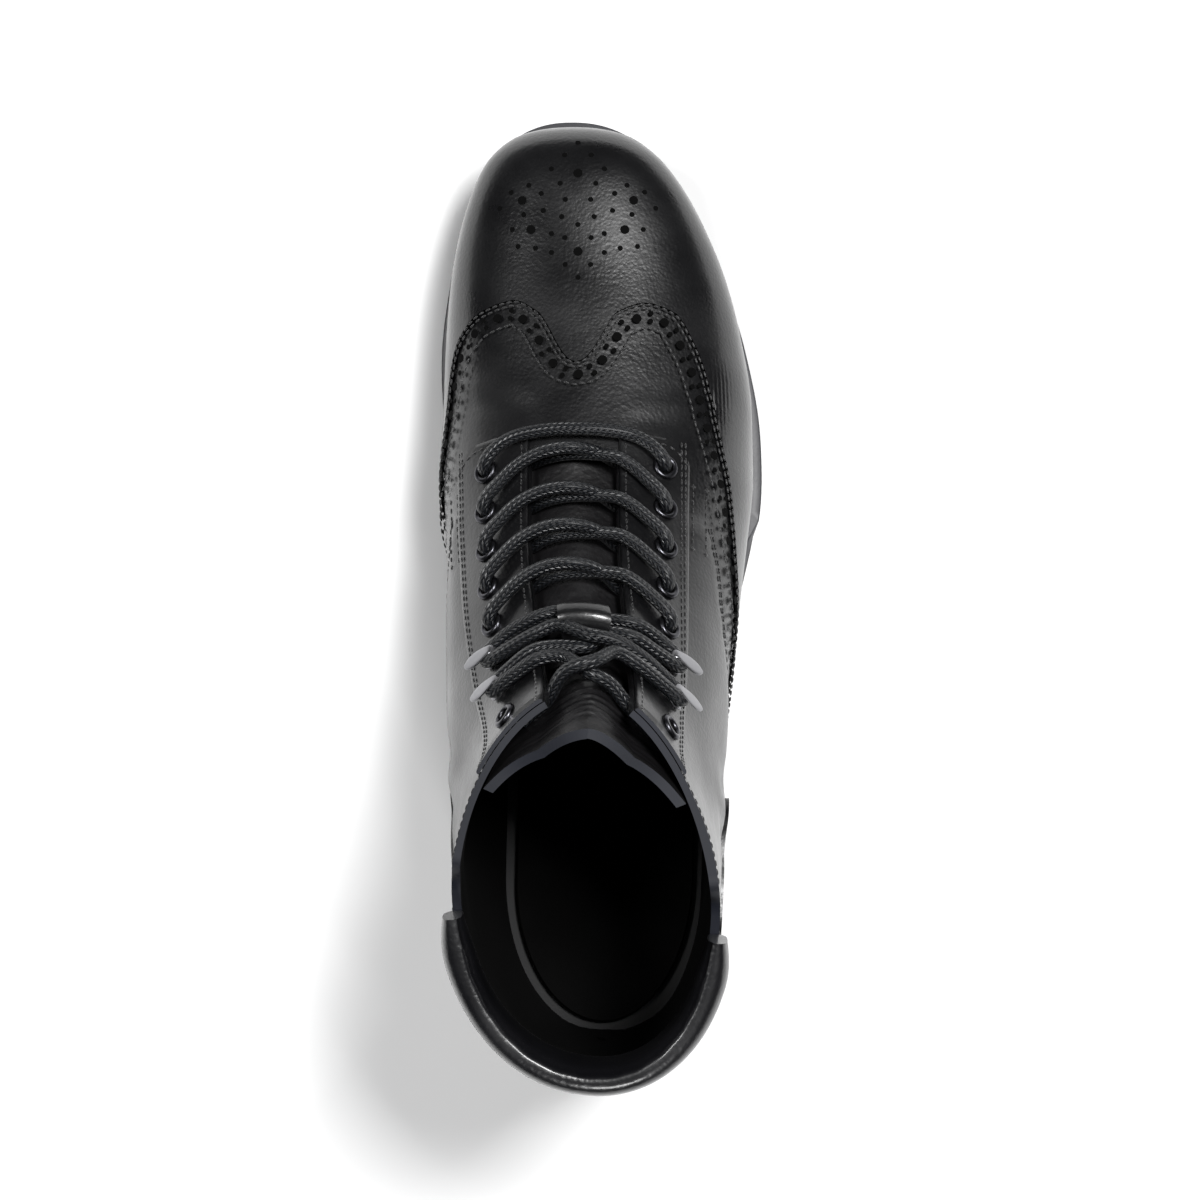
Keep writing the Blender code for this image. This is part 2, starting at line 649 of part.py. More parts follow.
def overlay(name, rows, places, thickness, kept=None, room=CLEAR):
    """A panel laid over the upper, cut between two larger forms of the upper's own shape."""
    room = np.broadcast_to(room, rows.shape)
    outer = off_upper(rows, places, room + thickness)
    inner = off_upper(rows, places, room)
    return make_object(name, walled(outer, inner, kept), BLACK, LEATHER_GLOSS)


def cut_lines(rows, places, inside):
    """Draws each line of the grid that runs up the boot back to where it leaves the region."""
    rows = rows.copy()
    places = places.copy()
    for j in range(rows.shape[1]):
        held = inside(rows[:, j], places[:, j])
        if not held.any():
            middle = int(np.argmin(np.abs(rows[:, j] - rows[:, j].mean())))
            rows[:, j], places[:, j] = rows[middle, j], places[middle, j]
            continue
        first = int(np.argmax(held))
        last = len(held) - 1 - int(np.argmax(held[::-1]))
        for good, bad in ((first, first - 1), (last, last + 1)):
            if not 0 <= bad < len(held):
                continue
            near, far = 0.0, 1.0
            start = np.array([rows[good, j], places[good, j]])
            end = np.array([rows[bad, j], places[bad, j]])
            for _ in range(CUT_STEPS):
                middle = (near + far) / 2
                row, place = blend(start, end, middle)
                if inside(np.array([row]), np.array([place]))[0]:
                    near = middle
                else:
                    far = middle
            ends = slice(0, bad + 1) if bad < good else slice(bad, None)
            rows[ends, j], places[ends, j] = blend(start, end, near)
    return rows, places


def height_over_seat(row, across):
    point = on_upper(row, across)
    return point[..., 2] - seat(point[..., 1])


def build_wing_cap():
    """The toe's wing tip: from just over the welt to its pinked edge, which winds back along both sides."""
    rows, places = upper_lines()
    edge_across, edge_row = column(WING_EDGE, "across"), column(WING_EDGE, "row")

    def inside(row, across):
        return (row <= smooth(across, edge_across, edge_row)) & (height_over_seat(row, across) >= CAP_FOOT)

    used = LEVELS <= WING_EDGE[-1].row + 1
    columns = slice(CAP_COLUMNS, -CAP_COLUMNS)
    rows, places = cut_lines(rows[used, columns], places[used, columns], inside)
    low = np.clip(1 - (height_over_seat(rows, places) - CAP_FOOT) / CAP_EASE_HEIGHT, 0, 1)
    overlay("wing_cap", rows, places, OVERLAY, room=CLEAR + CAP_EASE * low)


def build_facings():
    """The two facings, which carry the eyelets: from the throat's edge out to a seam, up to the topline."""
    levels = LEVELS[LEVELS > FACING_FRONT - 1]
    for name, side in (("facing_medial", -1), ("facing_lateral", 1)):
        width = FACING_INNER if side < 0 else FACING_OUTER
        columns = slice(0, SIDE_COLUMNS + 1) if side < 0 else slice(SIDE_COLUMNS + THROAT_COLUMNS, None)
        corner = abs(across_at(FACING_FRONT, side * width))
        rows = []
        places = []
        for level in levels:
            ends = sorted([across_at(level, side * (THROAT_HALF + CLEAR)), across_at(level, side * width)])
            place = np.clip(level_places(level)[columns], *ends)
            rows.append(level_row(level, place))
            places.append(place)

        def inside(row, across):
            return row >= FACING_FRONT + FACING_CORNER * np.clip(np.abs(across) / corner, 0, 1) ** 6

        overlay(name, *cut_lines(np.array(rows), np.array(places), inside), OVERLAY)


def build_counter():
    """The low panel that starts in a rounded tip at each waist and wraps the heel in one piece."""
    edge_row, edge_across = column(COUNTER_EDGE, "row"), column(COUNTER_EDGE, "across")
    levels = LEVELS[(LEVELS > edge_row[0]) & (LEVELS <= CLOSED_ROW + COUNTER_LEVELS)]
    rows = []
    places = []
    for level in [edge_row[0], *levels]:
        edge = float(smooth(min(level, edge_row[-1]), edge_row, edge_across))
        foot = blend(COUNTER_FOOT, COUNTER_HEEL, np.clip(level - CLOSED_ROW + 1, 0, 1) ** 2)
        foot = 1.0 if level > CLOSED_ROW else foot
        place = level_places(level)
        sides = np.clip(np.abs(place), edge, foot)
        place = np.where(place < 0, -sides, sides)
        rows.append(level_row(level, place))
        places.append(place)

    def inside(row, across):
        over = height_over_seat(row, across)
        return (over >= COUNTER_LIFT) & (over <= COUNTER_HEIGHT)

    kept = np.ones((len(rows) - 1, len(places[0]) - 1), bool)
    kept[:, SIDE_COLUMNS:SIDE_COLUMNS + THROAT_COLUMNS] = False
    rows, places = cut_lines(np.array(rows), np.array(places), inside)
    near_tip = np.clip(1 - (rows - edge_row[0]) / 1.5, 0, 1)
    overlay("counter", rows, places, OVERLAY, kept, CLEAR + COUNTER_EASE * near_tip)


def build_collar():
    """The padded rear collar: a fat roll that stands on the upper's rear edge, from shoulder to shoulder."""
    places = np.linspace(COLLAR_START + COLLAR_GAP, 2 - COLLAR_START - COLLAR_GAP, COLLAR_LINES)
    low = TOP_ROW - COLLAR_HEIGHT_ROWS + COLLAR_SEAM
    builder = bmesh.new()
    rings = []
    for place in places:
        shoulder = min(place - places[0], places[-1] - place) / (places[1] - places[0])
        full = min(1.0, COLLAR_SHOULDER + (1 - COLLAR_SHOULDER) * shoulder / COLLAR_SWELL_LINES)
        across = place if place <= 1 else place - 2
        back = math.sin(math.pi * (place - COLLAR_START) / (2 - 2 * COLLAR_START))
        high = TOP_ROW + COLLAR_RISE_ROWS * back
        ring = []
        for side in range(COLLAR_SIDES):
            turn = 2 * math.pi * (side + 0.5) / COLLAR_SIDES
            outward = math.copysign(abs(math.cos(turn)) ** COLLAR_SQUARE, math.cos(turn))
            upward = math.copysign(abs(math.sin(turn)) ** COLLAR_SQUARE, math.sin(turn))
            reach = COLLAR_OUT if outward > 0 else COLLAR_IN
            lift = -WALL / 2 + outward * (reach + WALL / 2) * full
            row = (low + high) / 2 + upward * (high - low) / 2
            ring.append(builder.verts.new(metres(off_upper(row, across, lift))))
        rings.append(ring)
    for first, second in zip(rings, rings[1:]):
        for side in range(COLLAR_SIDES):
            after = (side + 1) % COLLAR_SIDES
            builder.faces.new([first[side], first[after], second[after], second[side]])
    builder.faces.new(rings[0][::-1])
    builder.faces.new(rings[-1])
    make_object("collar", tidy(builder), BLACK, LEATHER_GLOSS)


def tongue_depth(row, distance):
    """How far inside the upper's outer face the tongue's outer face lies.

    Under the facings there is room for the lace, the throat's middle swells up to it, and the top leans back.
    """
    lean = np.clip((row - CLOSED_ROW) / (TONGUE_TOP_ROW - CLOSED_ROW), 0, 1) ** 1.5
    deep = blend(TONGUE_DEPTH, TONGUE_DEPTH_TOP, lean)
    swell = np.exp(-(distance / THROAT_HALF) ** 2) * (1 - lean)
    return deep - TONGUE_SWELL * swell


def build_tongue():
    shares = np.linspace(-1, 1, TONGUE_COLUMNS)
    low_rows = np.linspace(TONGUE_FRONT_ROW, CLOSED_ROW, TONGUE_LOW_ROWS)
    high_rows = np.linspace(CLOSED_ROW, TONGUE_TOP_ROW, TONGUE_HIGH_ROWS)
    rows = []
    places = []
    depths = []
    for row in np.concatenate([low_rows[:-1], high_rows]):
        rise = (row - TONGUE_FRONT_ROW) / (TONGUE_TOP_ROW - TONGUE_FRONT_ROW)
        half = blend(TONGUE_HALF, TONGUE_HALF_TOP, rise ** 1.6)
        inner, outer = across_at(min(row, TOP_ROW), -half), across_at(min(row, TOP_ROW), half)
        late = np.clip((row - CLOSED_ROW) / (TONGUE_TOP_ROW - CLOSED_ROW), 0, 1)
        depth = tongue_depth(row, shares * half)
        edge = np.clip((np.abs(shares) - TONGUE_EDGE) / (1 - TONGUE_EDGE), 0, 1)
        rows.append(row - late * TONGUE_SIDE_DROP * shares ** 2)
        places.append(np.where(shares < 0, -inner * shares, outer * shares))
        depths.append(blend(depth, WALL + TONGUE_SIDE_GAP, edge))
    rows, places, depths = np.array(rows), np.array(places), np.array(depths)
    outer = off_upper(rows, places, -depths)
    inner = off_upper(rows, places, -depths - TONGUE_WALL)
    make_object("tongue", walled(outer, inner), TONGUE_BLACK, TONGUE_GLOSS)


def build_lace_keeper():
    """The loop on the tongue that holds the lace: a strap over the first pair of hooks' crossing."""
    (row_in, _), (row_out, _) = lace_places()[EYELET_ROWS]
    centre = (row_in + row_out) / 2 - LACE_SLANT_ROWS / 2
    base = CLEAR - tongue_depth(centre, 0.0)
    top = CLEAR + LACE_LOW + LACE_OVER + LACE / 2 + CLEAR
    turn = np.linspace(0, math.pi, KEEPER_LINES)[:, None]
    distances = (-KEEPER_WIDTH / 2, 0.01, KEEPER_WIDTH / 2)
    places = np.array([across_at(centre, distance) for distance in distances]) * np.ones_like(turn)
    loops = []
    for wall in (KEEPER_WALL, 0.0):
        half = KEEPER_HALF_ROWS + wall / ROW_LENGTH
        lift = base + (top + wall - base) * np.sin(turn) ** KEEPER_SQUARE
        rows = centre - half * np.sign(np.cos(turn)) * np.abs(np.cos(turn)) ** KEEPER_SQUARE
        loops.append(off_upper(rows * np.ones_like(places), places, lift * np.ones_like(places)))
    make_object("lace_keeper", walled(*loops), BLACK, LEATHER_GLOSS)


def frame_at(row, across):
    """The upper's surface at a point: its place, and the directions outward, across and up the boot."""
    out = facing_out(row, across)
    sideways = on_upper(row, across + 0.01) - on_upper(row, across - 0.01)
    sideways = sideways - out * np.dot(sideways, out)
    sideways = sideways / np.linalg.norm(sideways)
    up = np.cross(out, sideways)
    return on_upper(row, across), out, sideways, up


@functools.cache
def lace_places():
    """The row of each pair of holes or hooks, and the place across it on each side, from the front up."""
    rows = []
    for step in range(EYELET_ROWS + HOOK_ROWS + 1):
        sides = []
        for side in (-1, 1):
            distance = side * EYELET_LINE
            row = row_after(THROAT_ROW, distance, FIRST_EYELET + step * EYELET_PITCH)
            sides.append((row, across_at(row, distance)))
        rows.append(sides)
    return rows


def ring_mesh(point, out, sideways, up, lift):
    """A turned eyelet: a flat foot, a rounded rim and an open bore."""
    builder = bmesh.new()
    bore, outer = EYELET_BORE / 2, EYELET_OUTER / 2
    low, high = EYELET_RISE * EYELET_FOOT, EYELET_RISE
    profile = [(bore, 0), (outer, 0), (outer, low), ((bore + outer) / 2, high), (bore, (low + high) / 2)]
    rings = []
    for k in range(EYELET_SIDES):
        turn = 2 * math.pi * k / EYELET_SIDES
        radial = sideways * math.cos(turn) + up * math.sin(turn)
        places = [point + radial * radius + out * (lift + height) for radius, height in profile]
        rings.append([builder.verts.new(metres(place)) for place in places])
    for k, ring in enumerate(rings):
        after = rings[(k + 1) % EYELET_SIDES]
        for j in range(len(profile)):
            n = (j + 1) % len(profile)
            builder.faces.new([ring[j], after[j], after[n], ring[n]])
    return tidy(builder)


def hook_path():
    """The bent strip of a hook from the side: how far outward, how high and what share of the full width."""
    foot = HOOK_LENGTH * HOOK_FOOT
    neck = -foot * HOOK_NECK
    bend = HOOK_RISE / 2
    path = []
    for share in np.linspace(0, 1, 4):
        path.append((blend(foot, neck, share), 0.0, blend(0.5, 1.0, math.sin(math.pi * share))))
    for turn in np.linspace(0.15, 0.95, 5) * math.pi:
        path.append((neck - bend * HOOK_BEND * math.sin(turn), bend * (1 - math.cos(turn)), HOOK_NECK_WIDTH))
    for share in np.linspace(0.12, 1, 6):
        width = blend(HOOK_NECK_WIDTH, 1, math.sin(math.pi / 2 * min(1, share / HOOK_WIDEST)))
        width -= width * HOOK_TIP * max(0, (share - HOOK_WIDEST) / (1 - HOOK_WIDEST)) ** 2
        path.append((neck + share * HOOK_LENGTH, HOOK_RISE + share * HOOK_FLARE, width))
    return path


def hook_mesh(point, out, sideways, up, lift):
    """A speed hook: one strip of plate, its foot on the facing, bent back over the lace to an oval plate."""
    path = np.array(hook_path())
    tangent = np.gradient(path[:, :2], axis=0)
    normal = np.stack([tangent[:, 1], -tangent[:, 0]], axis=1)
    normal /= np.linalg.norm(normal, axis=1, keepdims=True)
    sheets = []
    for shift in (HOOK_PLATE, 0.0):
        reach, height = (path[:, :2] + normal * shift).T[..., None, None]
        half = path[:, 2, None, None] * HOOK_WIDTH / 2 * np.array([-1, 0, 1])[None, :, None]
        sheets.append(point + sideways * reach + up * half + out * (lift + height))
    return walled(*sheets)


def build_lacing_metal():
    """Five eyelets, two speed hooks and a top eyelet on each facing."""
    lift = CLEAR + OVERLAY + CLEAR
    for step, sides in enumerate(lace_places()):
        for side, (row, across) in zip(("medial", "lateral"), sides):
            point, out, sideways, up = frame_at(row, across)
            if EYELET_ROWS <= step < EYELET_ROWS + HOOK_ROWS:
                away = sideways if side == "lateral" else -sideways
                mesh = hook_mesh(point, out, away, np.cross(out, away), lift)
                make_object(f"hook_{side}_{step - EYELET_ROWS + 1}", mesh, BRUSHED, METAL_GLOSS, 1.0)
            else:
                number = step + 1 if step < EYELET_ROWS else "top"
                mesh = ring_mesh(point, out, sideways, up, lift)
                make_object(f"eyelet_{side}_{number}", mesh, NICKEL, METAL_GLOSS, 1.0)


def lace_strand(points):
    """One closed round cord through the points, as a curve with filled ends."""
    data = bpy.data.curves.new("strand", "CURVE")
    data.dimensions = "3D"
    data.bevel_depth = LACE / 2 * MM
    data.bevel_resolution = LACE_SIDES
    data.use_fill_caps = True
    spline = data.splines.new("POLY")
    spline.points.add(len(points) - 1)
    for at, point in zip(spline.points, points):
        at.co = (*metres(point), 1)
    return bpy.data.objects.new("strand", data)


def strand_route(start, end, middle, rise):
    """A route over the throat between two places, each a row and a distance from the ridge.

    The lace lies over the facings, as far above them as the rise asks, and sinks to its middle height
    between them.
    """
    high = CLEAR + OVERLAY + CLEAR + rise + LACE / 2
    points = []
    for share in np.linspace(0, 1, STRAND_POINTS):
        row, distance = (blend(a, b, share) for a, b in zip(start, end))
        sunk = max(0.0, 1 - (distance / THROAT_HALF) ** 2)
        points.append(off_upper(row, across_at(row, distance), blend(high, middle, sunk)))
    return points


def as_mesh(item):
    """The cord's curve made a mesh, in an object that isn't linked yet."""
    bpy.context.collection.objects.link(item)
    bpy.context.view_layer.update()
    graph = bpy.context.evaluated_depsgraph_get()
    mesh = bpy.data.meshes.new_from_object(item.evaluated_get(graph))
    bpy.data.objects.remove(item)
    builder = bmesh.new()
    builder.from_mesh(mesh)
    return tidy(builder)


def build_lace():
    """The lace where it crosses the throat: a bar in front, then a crossing at each pair, joined by union."""
    pairs = [[row for row, _ in ends] for ends in lace_places()]
    over_eyelet = EYELET_RISE + CLEAR
    bar_ends = [(row, side * EYELET_LINE) for row, side in zip(pairs[0], (-1, 1))]
    bar = strand_route(*bar_ends, LACE_LOW + LACE_OVER, over_eyelet)
    make_object("lace_row_1", as_mesh(lace_strand(bar)), LACE_BLACK, LACE_GLOSS)
    edge = THROAT_HALF - LACE / 2 - LACE_EDGE_GAP
    for step, (row_in, row_out) in enumerate(pairs[1:], 1):
        hooked = EYELET_ROWS <= step < EYELET_ROWS + HOOK_ROWS
        reach = EYELET_LINE * (HOOKED_REACH if hooked else 1)
        low = LACE_LOW_KEPT if step == EYELET_ROWS else LACE_LOW
        rise = 0.0 if hooked else over_eyelet
        over = strand_route((row_in, -reach), (row_out - LACE_SLANT_ROWS, edge), low + LACE_OVER, rise)
        under = strand_route((row_out, reach), (row_in - LACE_SLANT_ROWS, -edge), low, rise)
        name = f"lace_row_{step + 1}"
        crossing = make_object(name, as_mesh(lace_strand(over)), LACE_BLACK, LACE_GLOSS)
        other = make_object(f"{name}_under", as_mesh(lace_strand(under)), LACE_BLACK, LACE_GLOSS)
        join = crossing.modifiers.new("join", "BOOLEAN")
        join.operation = "UNION"
        join.object = other
        other.hide_render = True
        other.display_type = "WIRE"


build_outsole()
build_heel()
build_welt()
build_insole()
build_upper()
build_wing_cap()
build_facings()
build_counter()
build_collar()
build_tongue()
build_lace_keeper()
build_lacing_metal()
build_lace()
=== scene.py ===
"""The looks of a black lace-up boot for the right foot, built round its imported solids.

Sizes are millimetres on the last, with the toe along +Y, the outer side along +X and the ground at Z = 0.
"""

import math
from collections import namedtuple

import bmesh
import bpy
import numpy as np
from mathutils import Matrix, Vector


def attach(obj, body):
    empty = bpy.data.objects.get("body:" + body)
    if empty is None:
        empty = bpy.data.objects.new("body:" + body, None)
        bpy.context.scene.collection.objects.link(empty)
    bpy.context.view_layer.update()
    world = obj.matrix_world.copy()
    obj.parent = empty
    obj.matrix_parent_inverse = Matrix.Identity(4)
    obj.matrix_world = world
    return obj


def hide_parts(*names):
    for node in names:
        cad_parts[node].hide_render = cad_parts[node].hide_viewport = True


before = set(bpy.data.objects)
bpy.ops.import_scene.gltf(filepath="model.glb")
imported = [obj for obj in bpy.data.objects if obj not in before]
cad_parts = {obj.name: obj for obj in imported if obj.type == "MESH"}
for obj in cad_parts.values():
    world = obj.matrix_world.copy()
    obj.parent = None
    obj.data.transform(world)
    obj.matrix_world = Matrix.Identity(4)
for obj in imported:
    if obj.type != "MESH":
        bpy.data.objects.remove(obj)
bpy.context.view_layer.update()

MM = 0.001

# Driving sizes of the last and the sole
SOLE_LENGTH = 305.0
TOE_TIP_Y = 158.0
BALL_WIDTH = 105.3
HEEL_SEAT = 32.0
UPPER_HEIGHT = 118.0
WALL = 2.0
CLEAR = 0.3
RIM = 3.4
GROOVE = 1.2
BEAD = 1.3
BEAD_ROOM = 1.1
GROOVE_DEPTH = 1.6
BEAD_HEIGHT = 1.5
WELT_END = 0.60
RIM_THICKNESS = 4.0
SIDE_STEP = 1.0
WAIST_UNDERCUT = 3.2
TREAD_EDGE = 1.6
OVERLAY = 1.2

# Throat, facings and lacing
THROAT_HALF = 14.0
THROAT_ROW = 9.2
TOP_ROW = 22.0
FACING_INNER = 43.0
FACING_OUTER = 38.0
FACING_FRONT = 8.85
FACING_CORNER = 0.45
EYELET_LINE = 29.0
FIRST_EYELET = 4.0
EYELET_PITCH = 15.0
EYELET_ROWS = 5
HOOK_ROWS = 2
EYELET_OUTER = 8.4
EYELET_BORE = 4.6
EYELET_RISE = 0.9
LACE = 4.2
HOOK_LENGTH = 9.5
HOOK_WIDTH = 5.0
HOOK_RISE = 4.2
HOOK_PLATE = 0.9

# Tongue and collar
TONGUE_DEPTH = 7.2
TONGUE_DEPTH_TOP = 8.5
TONGUE_WALL = 3.0
TONGUE_FRONT_ROW = 8.2
TONGUE_TOP_ROW = 23.0
TONGUE_HALF = 25.0
TONGUE_HALF_TOP = 46.0
TONGUE_SWELL = 3.2
TONGUE_EDGE = 0.6
TONGUE_SIDE_DROP = 1.2
TONGUE_SIDE_GAP = 0.6
COLLAR_HEIGHT_ROWS = 1.65
COLLAR_START = 0.50
COLLAR_OUT = 4.5
COLLAR_IN = 3.0
TOPLINE_DIP = 0.55
EDGE_BAND = 3.3

HALF_BALL = BALL_WIDTH / 2
HEEL_BACK_Y = TOE_TIP_Y - SOLE_LENGTH
FEATHER = RIM + GROOVE + BEAD + BEAD_ROOM
END_SHARE = 0.72

# The sole's plan. at: share of the length from the heel. centre and half: shares of the ball width.
# seat and under: heights of its upper and lower face, shares of the heel seat.
Plan = namedtuple("Plan", "at centre half seat under")
PLAN = [
    Plan(0.000, 0.010, 0.365, 1.00, 0.625),
    Plan(0.110, 0.012, 0.366, 1.00, 0.625),
    Plan(0.210, 0.018, 0.365, 0.99, 0.615),
    Plan(0.300, 0.024, 0.367, 0.93, 0.570),
    Plan(0.385, 0.023, 0.380, 0.80, 0.440),
    Plan(0.470, 0.026, 0.416, 0.63, 0.235),
    Plan(0.557, 0.029, 0.470, 0.48, 0.040),
    Plan(0.620, 0.019, 0.494, 0.43, 0.000),
    Plan(0.680, 0.004, 0.500, 0.42, 0.000),
    Plan(0.750, -0.019, 0.496, 0.42, 0.000),
    Plan(0.840, -0.043, 0.484, 0.46, 0.055),
    Plan(0.925, -0.068, 0.486, 0.56, 0.165),
    Plan(1.000, -0.087, 0.498, 0.70, 0.320),
]
HEEL_ROUND = 0.165
TOE_ROUND = 0.350
TOE_POWER = 2.25

# The upper's sections fan from the toe tip, over the instep, up to the collar.
Section = namedtuple("Section", "base back lift top rise ridge inner outer belly crown flank turn")
SECTIONS = [
    Section(1.000, 0.000, 0.000, 0.9860, 0.000, -0.087, -0.087, -0.087, 0.35, 2.1, 1.3, 0.00),
    Section(0.996, 0.000, 0.000, 0.9870, 0.045, -0.084, -0.178, 0.006, 0.36, 2.1, 1.3, 0.00),
    Section(0.981, 0.000, 0.000, 0.9820, 0.115, -0.078, -0.266, 0.098, 0.36, 2.2, 1.3, 0.00),
    Section(0.954, 0.000, 0.000, 0.9650, 0.185, -0.072, -0.340, 0.182, 0.35, 2.2, 1.3, 0.00),
    Section(0.920, 0.000, 0.000, 0.9370, 0.234, -0.067, -0.386, 0.252, 0.34, 2.2, 1.3, 0.00),
    Section(0.876, 0.000, 0.000, 0.8970, 0.272, -0.065, -0.424, 0.318, 0.33, 2.2, 1.3, 0.00),
    Section(0.819, 0.000, 0.000, 0.8490, 0.305, -0.065, -0.452, 0.380, 0.32, 2.2, 1.3, 0.00),
    Section(0.751, 0.000, 0.000, 0.7840, 0.352, -0.069, -0.467, 0.429, 0.32, 2.1, 1.3, 0.00),
    Section(0.677, 0.000, 0.000, 0.7120, 0.407, -0.074, -0.474, 0.459, 0.32, 2.0, 1.3, 0.00),
    Section(0.599, 0.000, 0.000, 0.6460, 0.470, -0.079, -0.483, 0.461, 0.35, 1.9, 1.4, 0.00),
    Section(0.514, 0.000, 0.000, 0.5900, 0.522, -0.079, -0.473, 0.438, 0.40, 1.9, 1.5, 0.01),
    Section(0.420, 0.000, 0.000, 0.5450, 0.566, -0.076, -0.462, 0.410, 0.44, 1.9, 1.5, 0.02),
    Section(0.325, 0.000, 0.000, 0.5060, 0.610, -0.069, -0.456, 0.388, 0.47, 1.9, 1.45, 0.035),
    Section(0.227, 0.000, 0.000, 0.4750, 0.664, -0.057, -0.451, 0.375, 0.49, 1.9, 1.40, 0.05),
    Section(0.135, 0.000, 0.000, 0.4510, 0.728, -0.048, -0.443, 0.366, 0.50, 1.95, 1.35, 0.06),
    Section(0.055, 0.000, 0.000, 0.4330, 0.792, -0.039, -0.434, 0.357, 0.50, 2.0, 1.65, 0.07),
    Section(0.000, 0.000, 0.000, 0.4210, 0.850, -0.032, -0.424, 0.352, 0.49, 2.0, 2.20, 0.08),
    Section(0.000, 0.030, 0.130, 0.4140, 0.898, -0.028, -0.417, 0.347, 0.48, 1.95, 2.25, 0.09),
    Section(0.000, 0.038, 0.270, 0.4095, 0.930, -0.026, -0.413, 0.342, 0.47, 1.90, 2.20, 0.09),
    Section(0.000, 0.018, 0.440, 0.4055, 0.952, -0.026, -0.411, 0.336, 0.46, 1.85, 2.15, 0.09),
    Section(0.000, -0.010, 0.610, 0.4025, 0.970, -0.026, -0.410, 0.332, 0.455, 1.80, 2.10, 0.09),
    Section(0.000, -0.022, 0.775, 0.4000, 0.986, -0.026, -0.410, 0.328, 0.45, 1.80, 2.10, 0.09),
    Section(0.000, -0.016, 0.925, 0.3985, 1.000, -0.026, -0.411, 0.326, 0.45, 1.80, 2.10, 0.09),
    Section(0.000, -0.010, 1.075, 0.3900, 1.105, -0.026, -0.413, 0.326, 0.45, 1.80, 2.10, 0.09),
]
BACK_LEAN = -0.045
TURN_CENTRE = -0.045
CLOSED_ROW = 16.0
EASE_REACH = 4.0
EASE_STEP = 0.55
EASE_SHARES = ((-2, 0.12), (-1, 0.24), (0, 0.28), (1, 0.24), (2, 0.12))
KNEE_FORE = 0.72
KNEE_SHAFT = 0.52

# Edges and seams on the upper. across: from the inner feather (-1) over the ridge (0) to the outer one (1).
Edge = namedtuple("Edge", "across row")
WING_EDGE = [
    Edge(-1.00, 10.6), Edge(-0.88, 10.0), Edge(-0.74, 9.2), Edge(-0.63, 8.35), Edge(-0.58, 7.5),
    Edge(-0.49, 7.05), Edge(-0.36, 6.8), Edge(-0.22, 6.72), Edge(-0.12, 6.95), Edge(0.0, 7.7),
    Edge(0.10, 6.95), Edge(0.19, 6.78), Edge(0.29, 6.9), Edge(0.36, 7.4), Edge(0.42, 8.2),
    Edge(0.49, 9.3), Edge(0.58, 10.6), Edge(0.72, 11.5), Edge(1.00, 12.2),
]
COUNTER_EDGE = [
    Edge(0.86, 13.0), Edge(0.74, 13.4), Edge(0.68, 14.2), Edge(0.64, 15.0), Edge(0.61, 16.0),
    Edge(0.60, 17.5),
]
QUARTER_SEAM_OUTER = [
    Edge(0.40, 10.3), Edge(0.44, 10.8), Edge(0.49, 11.6), Edge(0.58, 12.5), Edge(0.68, 13.0),
    Edge(0.82, 13.35), Edge(0.97, 13.5),
]
QUARTER_SEAM_INNER = [
    Edge(-0.52, 10.0), Edge(-0.57, 10.6), Edge(-0.66, 11.3), Edge(-0.80, 12.0), Edge(-0.96, 12.4),
]

# The camera: straight above the boot, 1 m over the floor, as the picture shows it.
CAMERA_HEIGHT = 1000.0
FOCAL_PIXELS = 2957.0
PICTURE = 1200.0
SENSOR = 36.0


def smooth(x, xs, ys):
    """Reads a smooth curve through the points of a table at x."""
    xs = np.asarray(xs, float)
    ys = np.asarray(ys, float)
    if xs[0] > xs[-1]:
        xs, ys = xs[::-1], ys[::-1]
    step = np.diff(xs)
    rate = np.diff(ys) / step
    slope = np.empty_like(ys)
    slope[0], slope[-1] = rate[0], rate[-1]
    before, after = rate[:-1], rate[1:]
    level = before * after <= 0
    slope[1:-1] = np.where(level, 0, 2 * before * after / np.where(level, 1, before + after))
    x = np.clip(np.asarray(x, float), xs[0], xs[-1])
    i = np.clip(np.searchsorted(xs, x) - 1, 0, len(step) - 1)
    t = (x - xs[i]) / step[i]
    rise = t * t * (3 - 2 * t)
    return (ys[i] * (1 - rise) + ys[i + 1] * rise
            + step[i] * (t * (1 - t) ** 2 * slope[i] - t * t * (1 - t) * slope[i + 1]))


def column(rows, name):
    return [getattr(row, name) for row in rows]


def blend(a, b, share):
    return a + (b - a) * share


def ramp(x, low, high):
    """0 below low, 1 above high and a soft step between."""
    t = np.clip((np.asarray(x, float) - low) / (high - low), 0, 1)
    return t * t * (3 - 2 * t)


def plan(at, name):
    return smooth(at, column(PLAN, "at"), column(PLAN, name))


def end_round(at):
    heel = np.clip(np.asarray(at) / HEEL_ROUND, 0, 1)
    toe = np.clip((1 - np.asarray(at)) / TOE_ROUND, 0, 1)
    heel_part = np.sqrt(np.maximum(0, 1 - (1 - heel) ** 2))
    toe_part = np.maximum(0, 1 - (1 - toe) ** TOE_POWER) ** (1 / TOE_POWER)
    return heel_part * toe_part


def outline(at, inset):
    """Y, inner X and outer X of the sole's outline, drawn in by inset at the ball."""
    end = inset * END_SHARE
    y = HEEL_BACK_Y + end + np.asarray(at) * (SOLE_LENGTH - 2 * end)
    centre = plan(at, "centre") * BALL_WIDTH
    half = plan(at, "half") * BALL_WIDTH * end_round(at) * (1 - inset / HALF_BALL)
    return y, centre - half, centre + half


def footprint_centre():
    y, inner, outer = outline(np.linspace(0, 1, 201), 0)
    return np.array([(inner.min() + outer.max()) / 2, (y[0] + y[-1]) / 2, 0])


ORIGIN = footprint_centre()


def metres(point):
    return (np.asarray(point) - ORIGIN) * MM


def along(y):
    return (y - HEEL_BACK_Y) / SOLE_LENGTH


def seat(y):
    return plan(along(y), "seat") * HEEL_SEAT


